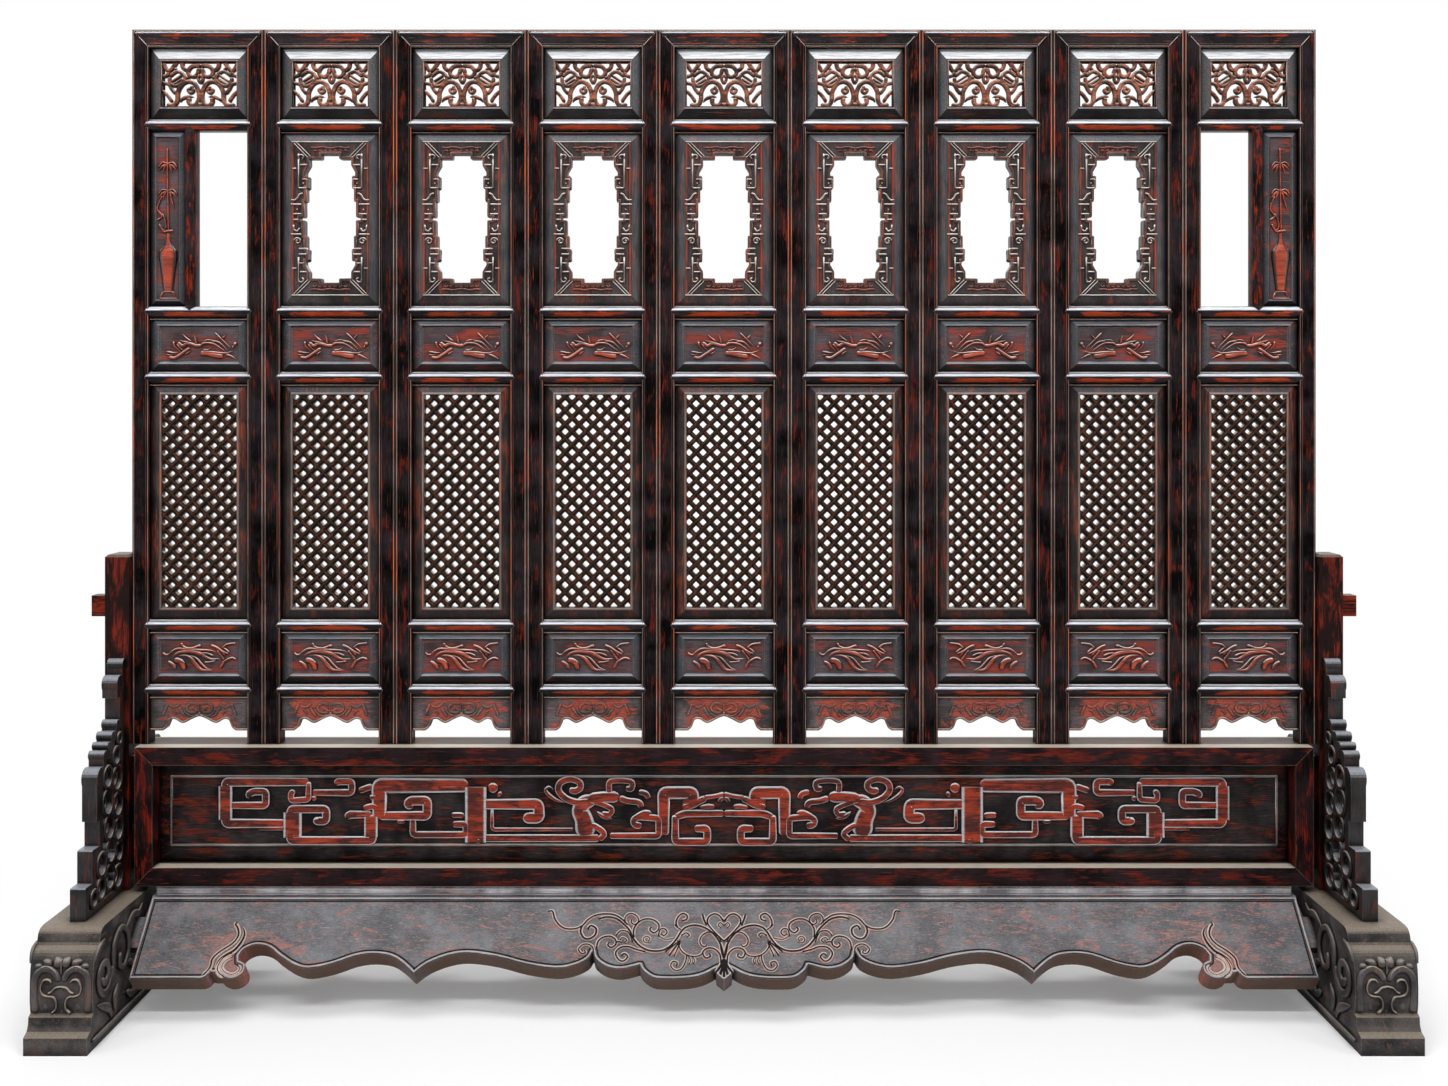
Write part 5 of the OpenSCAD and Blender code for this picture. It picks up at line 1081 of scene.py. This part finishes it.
def dressLeaves():
    panel, fret, beads = panelMeshes(), medallionCarving(), frameBeadMeshes()
    legs, clouds, scallopBead = legBoardMeshes()
    ridges, border, latticeLine = latticeMeshes()
    middleRails = railLineMeshes(railZ, railZ)
    endRails = railLineMeshes(railZ[:3] + railZ[4:], railZ[:4])  # none along the open window
    bothFaces = ((front, 1), (back, -1))
    for number in range(1, leafCount + 1):
        x = (number - (leafCount + 1) / 2) * stepX
        atEnd = number in (1, leafCount)
        body = f"leaf_{number}"
        turned = -1 if number > 6 else 1  # the branches of the last leaves lean the other way
        panels = [(panel["upper"], front(x, 0, middleZ["upperPanel"])),
                  (panel["lower"], front(x, 0, middleZ["lowerPanel"])),
                  (panel["openwork"], front(x, 0, middleZ["openwork"])),
                  (panel["scrolls"], front(x, 0, middleZ["openwork"])), (legs, front(x, 0, 0))]
        for upright, face in bothFaces:
            panels += [(panel["branch", turned], upright(x, 0, middleZ["upperPanel"])),
                       (panel["orchid", turned], upright(x, 0, middleZ["lowerPanel"])),
                       (panel["openLine"], upright(x, 0, middleZ["openwork"])),
                       (clouds, upright(x, -legBoard["face"] * face, railZ[0])),
                       (scallopBead, upright(x, -legBoard["face"] * face, 0))]
        if atEnd:
            side = 1 if number == 1 else -1
            at = x - side * endLeaf["vaseAside"]
            panels += [(panel["mullion"], front(x - side * endLeaf["mullionAside"], 0, middleZ["medallion"])),
                       (panel["vase"], front(at, 0, middleZ["medallion"]))]
            panels += [(panel["vaseCarving"], upright(at, 0, middleZ["medallion"])) for upright, face in bothFaces]
        piece(f"leaf_{number}_carved_panels", panels, body, (f"leaf_{number}_panels",))
        grille = [(ridges, front(x, 0, middleZ["lattice"])), (border, front(x, 0, middleZ["lattice"]))]
        grille += [(latticeLine, upright(x, 0, middleZ["lattice"])) for upright, face in bothFaces]
        piece(f"leaf_{number}_lattice_ridges", grille, body)
        lines = [(mesh, upright(x, -leaf["face"] * face, 0)) for mesh in beads for upright, face in bothFaces]
        lines += [(mesh, upright(x, -railLines["behind"] * face, 0)) for mesh in (endRails if atEnd else middleRails)
                  for upright, face in bothFaces]
        piece(f"leaf_{number}_beads", lines, body)
        if not atEnd:
            frets = [(mesh, upright(x, -medallion["face"] * face, middleZ["medallion"])) for mesh in fret
                     for upright, face in bothFaces]
            piece(f"leaf_{number}_medallion_fret", frets, body)


dressLeaves()
print("leaves dressed")


# Aprons: a bead round the scalloped edge, a vine scroll in the middle and a flame volute at each end
apron = {"slope": 43, "top": 256, "front": 68.5, "halfWidth": 1412, "length": 217, "edgeDown": 5,
         "bead": 6, "beadRise": 3.0, "line": 3.4, "lineRise": 1.2, "vineMore": 5, "vineRise": 2.2, "flameMore": 7,
         "flameRise": 2.6, "grooveRise": 3.1, "stripUp": 5, "stripWidth": 13, "stripHalf": 1400, "stripRise": 1.6,
         "lowBead": 3.4, "lowBeadUp": 2.4, "lowBeadRise": 2.6}
# The lower edge from the middle to the right end, in curves that meet at corners
scallops = ([(0, 222), (18, 207)],
            [(20, 192), (47, 207), (84, 216), (138, 218), (170, 214), (193, 197), (201, 183)],
            [(203, 183), (244, 193), (280, 187), (307, 168), (314, 150)],
            [(316, 150), (327, 168), (358, 184), (403, 191), (473, 181), (543, 162), (613, 152), (660, 158),
             (707, 178), (737, 204)],
            [(739, 204), (766, 180), (799, 160), (843, 154), (885, 160), (937, 180), (990, 191), (1026, 183),
             (1065, 160), (1095, 138), (1127, 131), (1152, 141), (1163, 158)],
            [(1160, 171), (1144, 180), (1142, 200), (1156, 214), (1176, 217), (1194, 210)],
            [(1202, 202), (1216, 202)], [(1224, 200), (1230, 211), (1242, 217), (1252, 217)])
# Left half of the vine, from the middle of the apron's upper edge
vineStrokes = [
    (6, [(-431, -43), (-420, -43), (-413, -63), (-400, -80), (-384, -89), (-362, -89), (-345, -81), (-332, -65),
         (-315, -54), (-294, -50), (-269, -52), (-250, -63), (-234, -79)]),
    (7, [(-345, -81), (-348, -97), (-339, -113), (-325, -115), (-312, -105), (-311, -89), (-324, -81), (-331, -91)]),
    (7, [(-306, -63), (-285, -58), (-262, -63), (-243, -78), (-229, -94), (-219, -115), (-203, -134), (-179, -146),
         (-151, -146), (-129, -134), (-114, -115), (-104, -97), (-92, -85), (-71, -80), (-48, -86), (-27, -101),
         (-13, -120), (-5, -141), (-1, -164)]),
    (5, [(-241, -75), (-241, -59), (-231, -49), (-216, -53), (-208, -67), (-216, -78), (-226, -73), (-225, -64)]),
    (6, [(-218, -113), (-219, -91), (-210, -74), (-194, -64), (-175, -65), (-160, -76), (-159, -91), (-170, -100),
         (-180, -92), (-176, -84)]),
    (5, [(-159, -108), (-155, -92), (-145, -89), (-138, -98), (-145, -107), (-153, -102)]),
    (4, [(-158, -108), (-141, -117), (-119, -113)]),
    (4, [(-179, -126), (-191, -125), (-195, -115), (-187, -109), (-179, -115), (-184, -122)]),
    (6, [(-112, -87), (-117, -74), (-112, -58), (-101, -49), (-90, -55), (-92, -65), (-103, -68)]),
    (5, [(-120, -78), (-113, -86), (-104, -92)]),
    (6, [(0, -122), (-15, -107), (-30, -90), (-40, -74), (-38, -59), (-25, -50), (-12, -54), (-1, -69)]),
    (4, [(-1, -80), (-9, -73), (-14, -80), (-7, -87)]), (7, [(-42, -80), (-48, -67), (-53, -50)]),
    (5, [(-112, -119), (-106, -141), (-93, -155), (-76, -161), (-59, -159), (-49, -150)]),
    (6, [(-7, -181), (-10, -156), (-25, -141), (-42, -141), (-51, -152), (-44, -165), (-33, -161), (-35, -153)]),
    (5, [(-6, -125), (-15, -108), (-33, -98), (-49, -103), (-58, -117), (-56, -130), (-47, -136), (-41, -130)]),
    (5, [(-103, -107), (-92, -100), (-84, -106), (-90, -111)]),
    (6, [(-189, -149), (-211, -143), (-230, -136), (-249, -138), (-260, -152), (-253, -168), (-241, -173),
         (-231, -162), (-239, -154), (-246, -159)]),
    (6, [(-307, -143), (-304, -123), (-293, -112), (-276, -109), (-263, -117), (-261, -130), (-272, -138),
         (-280, -131), (-276, -124)]),
    (5, [(-314, -152), (-316, -138), (-327, -130), (-340, -131), (-350, -142), (-343, -153), (-333, -152),
         (-336, -144)]),
    (5, [(-89, -156), (-92, -175), (-102, -193), (-117, -196), (-127, -185), (-122, -174), (-112, -177),
         (-114, -185)]),
    (6, [(-105, -119), (-124, -135), (-141, -149)]), (6, [(-105, -122), (-120, -141), (-131, -159)]),
    (5, [(-105, -125), (-113, -144), (-120, -161)]),
    (5, [(-262, -108), (-251, -95), (-234, -97), (-225, -111), (-221, -124)]),
    (4, [(-252, -119), (-245, -112), (-235, -119), (-241, -125)]), (5, [(-263, -132), (-257, -123), (-246, -125)]),
    (4, [(-86, -159), (-80, -172), (-84, -181)]), (4, [(-77, -161), (-70, -171), (-73, -179)]),
    (9, [(0, -167), (-9, -187), (-20, -203)]), (9, [(0, -167), (-5, -193), (-10, -210)]),
    (9, [(0, -167), (0, -199), (0, -216)], {"mirror": False}), (4, [(-10, -122), (-8, -141), (-4, -159)]),
]
# Flame volute at the left end
flameStrokes = [
    (6, [(-1239, -211), (-1229, -197), (-1225, -186), (-1224, -166), (-1210, -148), (-1190, -132), (-1179, -118),
         (-1176, -102), (-1183, -85), (-1189, -78), (-1186, -71)]),
    (9, [(-1213, -204), (-1213, -190), (-1208, -171), (-1195, -158), (-1179, -147), (-1169, -133), (-1163, -117),
         (-1162, -101), (-1170, -86), (-1179, -80)], {"ends": "leaf"}),
    (7, [(-1180, -151), (-1197, -163), (-1205, -177), (-1207, -192), (-1199, -205), (-1186, -212)]),
    (5, [(-1177, -162), (-1192, -172), (-1197, -182), (-1195, -194), (-1184, -203), (-1170, -207), (-1158, -202),
         (-1154, -191), (-1162, -184)]),
]


def insetLine(line, depth):
    # A closed line moved inwards, drawn the way the clock turns
    moved = []
    for i, point in enumerate(line):
        before, after = (point - line[i - 1]).normalized(), (line[(i + 1) % len(line)] - point).normalized()
        across = Vector((before.y + after.y, -before.x - after.x))
        if across.length < 0.3:
            across = Vector((before.y, -before.x))
        across.normalize()
        moved.append(point + across * depth / max(0.6, across.dot(Vector((before.y, -before.x)))))
    return moved


def slope(side):
    # The plane of an apron's face: right along its width, up to its top edge and out of its face
    c, s = math.cos(math.radians(apron["slope"])), math.sin(math.radians(apron["slope"]))
    return Matrix(((side, 0, 0, 0), (0, side * c, -side * s, -side * apron["front"] * mm),
                   (0, s, c, apron["top"] * mm), (0, 0, 0, 1)))


def carveAprons():
    half = [Vector((x, -y)) for part in scallops for x, y in
            ([tuple(p) for p in curved(part, 3)] if len(part) > 2 else part)]
    half.append(Vector((apron["halfWidth"], -apron["length"])))
    line = [Vector((side * apron["halfWidth"], -apron["edgeDown"])) for side in (-1, 1)] + half[::-1]
    line += [Vector((-p.x, p.y)) for p in half[1:]]
    edge, inner = ([(width, [tuple(p) for p in insetLine(line, apron["bead"] * share)],
                     {"closed": True, "radius": 1})]
                   for width, share in ((apron["bead"], 0.6), (apron["line"], 1.7)))
    # Vine and flame are broad pale bands, each with a dark raised line along its middle, painted as the shade of a
    # groove
    vine, flame = widened(vineStrokes, more=apron["vineMore"]), widened(flameStrokes, more=apron["flameMore"])
    hollows = widened(vineStrokes, 0.85) + widened(flameStrokes, 0.9)
    flat = [sweep("apronBead", drawing(edge, apron["beadRise"], smooth=False), finishes["paleBead"], 10),
            sweep("apronLine", drawing(inner, apron["lineRise"], smooth=False), finishes["groove"], 8),
            sweep("vine", drawing(vine, apron["vineRise"], mirror=True), finishes["vine"], 10),
            sweep("flame", drawing(flame, apron["flameRise"], mirror=True), finishes["flame"], 10),
            sweep("vineGroove", drawing(hollows, apron["grooveRise"], mirror=True), finishes["groove"], 8)]
    # The strip above: a flat band over a small bead
    reach, middle, low = apron["stripHalf"], apron["stripUp"] + apron["stripWidth"] / 2, apron["lowBeadUp"]
    band = drawing([(apron["stripWidth"], [(-reach, middle), (reach, middle)])], apron["stripRise"], ends="cut")
    below = drawing([(apron["lowBead"], [(-reach, low), (reach, low)])], apron["lowBeadRise"], ends="cut")
    strip = [sweep("stripBand", band, finishes["strip"], 16, 0.3), sweep("stripBead", below, finishes["paleBead"])]
    for name, side, upright in (("front", 1, front), ("back", -1, back)):
        place = upright(0, -side * apron["front"], apron["top"])
        piece(f"{name}_apron_carving", [(mesh, slope(side)) for mesh in flat] + [(mesh, place) for mesh in strip],
              "stand")


carveAprons()
print("aprons carved")


# Feet: twin volutes under a leaf on each toe, scrolls along the sides
foot = {"x": 1510, "halfWidth": 72, "front": 373, "middle": 150, "rise": 6, "sink": 8, "ridgeRise": 10,
        "ridgeSink": 4, "sideWiden": 1.25, "sideRise": 8}
voluteStrokes = [
    (17, [(-59, -66), (-61, -22), (-60, 12), (-49, 29), (-33, 34), (-19, 28), (-9, 17), (-5, 4)], {"rise": 8}),
    (30, [(-46, -50), (-27, -50)], {"rise": 6}), (14, [(-62, -78), (-40, -81), (-22, -79), (-13, -67)], {"rise": 8}),
    (20, [(-33, -5), (-29, -8)], {"rise": 9}), (18, [(-10, -20), (0, -18), (10, -20)], {"rise": 3, "mirror": False}),
    (14, [(0, -32), (0, -52), (0, -96)], {"widths": [3, 7, 14], "ends": "cut", "rise": 6, "mirror": False}),
    (9, [(-6, -62), (-16, -80), (-34, -98)], {"ends": "leaf", "rise": 4}),
    (26, [(-1, 31), (-8, 44), (-16, 58)], {"ends": "leaf", "lift": -8, "rise": 14}),
    (18, [(-20, 36), (-32, 46), (-46, 50)], {"ends": "leaf", "lift": -6, "rise": 12}),
    (12, [(-40, 36), (-54, 40), (-64, 34)], {"ends": "leaf", "lift": -3, "rise": 9}),
]
voluteRidges = [
    (4.4, [(-21, 3), (-27, 10), (-38, 10), (-45, -1), (-46, -12), (-41, -23), (-30, -27), (-19, -28), (-12, -36),
           (-10, -47), (-13, -58), (-22, -66)]),
    (4, [(-30, -20), (-22, -17), (-13, -8), (0, -5), (13, -8), (22, -17), (30, -20)], {"mirror": False}),
    (3.4, [(-5, 14), (-14, 30), (-32, 41), (-48, 36)], {"rise": 8}),
    (3, [(0, 22), (0, 40), (0, 56)], {"mirror": False, "rise": 6}),
]
# Front half of a foot's side, from the middle of its length and the floor
footSideStrokes = [
    (15, spiral((-318, 150), 52, 12, 0.02, -1.5)),
    (13, [(-266, 150), (-262, 196), (-222, 226), (-180, 206), (-168, 160), (-196, 128), (-226, 142), (-218, 168)]),
    (18, [(-356, 92), (-322, 78), (-288, 60), (-270, 30)], {"ends": "leaf"}),
    (16, [(-232, 100), (-258, 74), (-250, 40)], {"ends": "leaf"}),
    (15, [(-168, 130), (-134, 106), (-128, 66), (-152, 46), (-176, 60)]),
    (16, [(-180, 212), (-140, 232), (-100, 226), (-70, 240)], {"ends": "leaf"}),
    (12, [(-372, 196), (-346, 222), (-310, 232)], {"ends": "leaf"}), (9, [(-386, 24), (-200, 24), (0, 24)]),
    (13, spiral((-66, 152), 42, 10, 0.2, 1.45)), (13, [(-54, 192), (-30, 206), (0, 212)]),
    (16, [(0, 70), (0, 120), (0, 186)], {"ends": "leaf", "mirror": False}),
    (13, [(-6, 76), (-30, 92), (-40, 112)], {"ends": "leaf"}), (12, [(-112, 96), (-84, 74), (-44, 58), (0, 56)]),
]


def outward(x, side):
    # A drawing on a face that looks to +X where side is 1: its right is +Y there, and -Y on the other side
    return Matrix(((0, 0, side, x * mm), (side, 0, 0, 0), (0, 1, 0, 0), (0, 0, 0, 1)))


def carveFeet():
    toe = sweep("volute", drawing(voluteStrokes, foot["rise"], sink=foot["sink"], mirror=True),
                finishes["footCarving"], 14, 0.9)
    ridges = sweep("voluteRidge", drawing(voluteRidges, foot["ridgeRise"], sink=foot["ridgeSink"], mirror=True),
                   finishes["footRidge"], 10)
    sides = sweep("footScroll", drawing(widened(footSideStrokes, foot["sideWiden"]), foot["sideRise"], mirror=True),
                  finishes["footCarving"], 12, 0.8)
    for name, side in (("left", -1), ("right", 1)):
        x = side * foot["x"]
        toes = [(mesh, place) for mesh in (toe, ridges) for place in
                (front(x, -foot["front"], foot["middle"]), back(x, foot["front"], foot["middle"]))]
        flanks = [(sides, outward(x + way * foot["halfWidth"], way)) for way in (1, -1)]
        piece(f"{name}_foot_carving", toes + flanks, "stand")


carveFeet()


# Standing brackets: volutes inside the stepped edge, seen from both sides
bracket = {"halfThick": 18, "foot": 262, "ring": 10.5, "ringInset": 4.5, "ringRise": 4.5, "ringSink": 2, "curl": 6,
           "curlInset": 8, "curlThickness": 26, "rollProud": 2, "rollWider": 3}
# Rolls on the steps, each by the step's outer corner and its radius, and rings inside, each by its middle
# and its radius, from the middle of the foot's length and from the foot's top
bracketRolls = [(57, 575, 14), (91, 538, 20), (93, 431, 10), (126, 408, 10), (152, 388, 8), (175, 372, 10),
                (215, 338, 24)]
bracketRings = [(236, 38, 24), (192, 50, 30), (140, 62, 34), (88, 48, 32), (190, 106, 32), (132, 124, 34),
                (82, 108, 28), (84, 164, 32), (142, 184, 34), (88, 226, 34), (150, 246, 36), (92, 290, 34),
                (152, 306, 30), (98, 346, 26), (78, 384, 18)]


def circlePoints(centre, radius, count):
    turns = [k * math.tau / count for k in range(count)]
    return [(centre[0] + radius * math.cos(turn), centre[1] + radius * math.sin(turn)) for turn in turns]


def carveBrackets():
    ribs, curls, rolls = {}, {}, {}
    for way in (1, -1):
        rounds, inside = [], []
        for number, (u, v, r) in enumerate(bracketRings):
            ring = [(way * y, z) for y, z in circlePoints((u, v), r - bracket["ringInset"], 20)]
            rounds.append((bracket["ring"], ring, {"closed": True}))
            turned = spiral((u, v), r - bracket["curlInset"], 4, 0.13 * number, 1.2 if number % 2 else -1.2)
            inside.append((bracket["curl"], [(way * y, z) for y, z in turned]))
        ribs[way] = sweep("bracketRings", drawing(rounds, bracket["ringRise"], sink=bracket["ringSink"]),
                          finishes["bracketCarving"], 10, 0.8)
        curls[way] = sweep("bracketCurls", drawing(inside, bracket["curlThickness"], -bracket["curlThickness"] / 2,
                                                   sink=0), finishes["bracketCarving"], 8, 0.8)
        thickness = 2 * bracket["halfThick"] + bracket["rollWider"]
        rolls[way] = [board("bracketRoll", circlePoints((way * (u - r), v - r), r + bracket["rollProud"], 24),
                            thickness, finishes["bracket"], 1.5) for u, v, r in bracketRolls]
    for name, side in (("left", -1), ("right", 1)):
        x = side * foot["x"]
        low = Matrix.Translation((0, 0, bracket["foot"] * mm))
        for end, way in (("front", -1), ("back", 1)):
            scrolls = [(ribs[way], low @ outward(x + bracket["halfThick"], 1)),
                       (ribs[-way], low @ outward(x - bracket["halfThick"], -1)),
                       (curls[way], low @ outward(x, 1))] + [(roll, low @ outward(x, 1)) for roll in rolls[way]]
            piece(f"{name}_{end}_bracket_scrolls", scrolls, "stand")


carveBrackets()
print("feet and brackets carved")


# CAD nodes get their finish by the first of these words in their name
nodeFinish = [("_stiles", "stile"), ("_stile", "frameStile"), ("_rails", "rail"), ("_panels", "panel"),
              ("_lattice", "grille"), ("_medallion", "fretGround"), ("frame_panel", "longPanel"),
              ("frame_", "frameRail"), ("_apron", "apron"), ("_foot", "foot"), ("_post", "post"),
              ("_bracket", "bracket"), ("_key", "key")]
for name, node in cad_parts.items():
    finish = next(look for part, look in nodeFinish if part in name)
    node.data.materials.clear()
    node.data.materials.append(finishes[finish])

# Camera: level, at eye height, four metres in front of the leaves
camera = {"distance": 4000, "height": 1481.25, "lens": 39.78, "shift": -0.0988}
cameraData = bpy.data.cameras.new("camera")
cameraData.lens = camera["lens"]
cameraData.sensor_width = 36
cameraData.shift_y = camera["shift"]
cameraObject = bpy.data.objects.new("camera", cameraData)
cameraObject.location = (0, -(camera["distance"] + leaf["face"]) * mm, camera["height"] * mm)
cameraObject.rotation_euler = (math.radians(90), 0, 0)
bpy.context.scene.collection.objects.link(cameraObject)
bpy.context.scene.camera = cameraObject

# Plain studio light: a long narrow lamp high in front, a like one behind, a broad one above, and a
# soft one at each side, in a grey room
lamps = {"key": ((0, -3.6, 4.6), (5.8, 0.3), 150), "back": ((0, 3.8, 4.4), (5.8, 0.6), 120),
         "top": ((0, -0.9, 5.2), (4.0, 2.0), 85), "left": ((-4.6, -2.6, 1.9), (1.2, 2.4), 34),
         "right": ((4.6, -2.6, 1.9), (1.2, 2.4), 34)}
for name, (spot, size, power) in lamps.items():
    data = bpy.data.lights.new(name, "AREA")
    data.shape = "RECTANGLE"
    data.size, data.size_y = size
    data.energy = power
    lamp = bpy.data.objects.new(name, data)
    lamp.location = spot
    lamp.rotation_euler = (Vector((0, 0, 1.2)) - Vector(spot)).to_track_quat("-Z", "Y").to_euler()
    bpy.context.scene.collection.objects.link(lamp)

# The surroundings light the screen a little in grey, and the camera sees them white
world = bpy.data.worlds.new("studio")
bpy.context.scene.world = world
world.use_nodes = True
sky = world.node_tree
rays = addNode(sky, "ShaderNodeLightPath").outputs
seen = addNode(sky, "ShaderNodeMath", {0: rays["Is Camera Ray"], 1: rays["Is Glossy Ray"]}, operation="MAXIMUM")
seenThrough = addNode(sky, "ShaderNodeMath", {0: seen.outputs[0], 1: rays["Is Transmission Ray"]},
                      operation="MAXIMUM")
plain = sky.nodes["Background"]
plain.inputs["Color"].default_value = (0.36, 0.36, 0.37, 1)
white = addNode(sky, "ShaderNodeBackground", {"Color": (1, 1, 1, 1), "Strength": 1.0})
both = addNode(sky, "ShaderNodeMixShader", {0: seenThrough.outputs[0], 1: plain.outputs[0], 2: white.outputs[0]})
sky.links.new(both.outputs[0], sky.nodes["World Output"].inputs["Surface"])

# Floor: it keeps the screen's soft shadow, glows a little and goes over to the white of the room
# within a metre outside its reach
floorLook = {"reach": (1.72, 0.5), "fade": 1.0, "glow": 0.18}
floorMesh = bpy.data.meshes.new("floor")
floorMesh.from_pydata([(-14, -9, 0), (14, -9, 0), (14, 14, 0), (-14, 14, 0)], [], [(0, 1, 2, 3)])
floor = bpy.data.objects.new("floor", floorMesh)
bpy.context.scene.collection.objects.link(floor)
floorMaterial = bpy.data.materials.new("matWhitePaperFloor")
floorMaterial.use_nodes = True
paper = floorMaterial.node_tree
paper.nodes["Principled BSDF"].inputs["Base Color"].default_value = linear("#eeeeee")
paper.nodes["Principled BSDF"].inputs["Roughness"].default_value = 0.9
glow = addNode(paper, "ShaderNodeEmission", {"Color": (1, 1, 1, 1), "Strength": floorLook["glow"]})
lit = addNode(paper, "ShaderNodeAddShader", {0: paper.nodes["Principled BSDF"].outputs[0], 1: glow.outputs[0]})
around = addNode(paper, "ShaderNodeVectorMath", {0: addNode(paper, "ShaderNodeTexCoord").outputs["Object"]},
                 operation="ABSOLUTE")
past = addNode(paper, "ShaderNodeVectorMath", {0: around.outputs[0], 1: floorLook["reach"] + (0,)},
               operation="SUBTRACT")
outside = addNode(paper, "ShaderNodeVectorMath", {0: past.outputs[0], 1: (0, 0, 0)}, operation="MAXIMUM")
away = addNode(paper, "ShaderNodeVectorMath", {0: outside.outputs[0]}, operation="LENGTH")
fade = addNode(paper, "ShaderNodeMapRange", {0: away.outputs["Value"], 2: floorLook["fade"]},
               interpolation_type="SMOOTHSTEP")
full = addNode(paper, "ShaderNodeEmission", {"Color": (1, 1, 1, 1), "Strength": 1.0})
bright = addNode(paper, "ShaderNodeMixShader", {0: fade.outputs[0], 1: lit.outputs[0], 2: full.outputs[0]})
paperRays = addNode(paper, "ShaderNodeLightPath").outputs
shown = addNode(paper, "ShaderNodeMixShader", {0: paperRays["Is Camera Ray"],
                                               1: paper.nodes["Principled BSDF"].outputs[0], 2: bright.outputs[0]})
paper.links.new(shown.outputs[0], paper.nodes["Material Output"].inputs["Surface"])
floorMesh.materials.append(floorMaterial)
bpy.context.scene.view_settings.view_transform = "Standard"
print("camera, lamps and floor set")
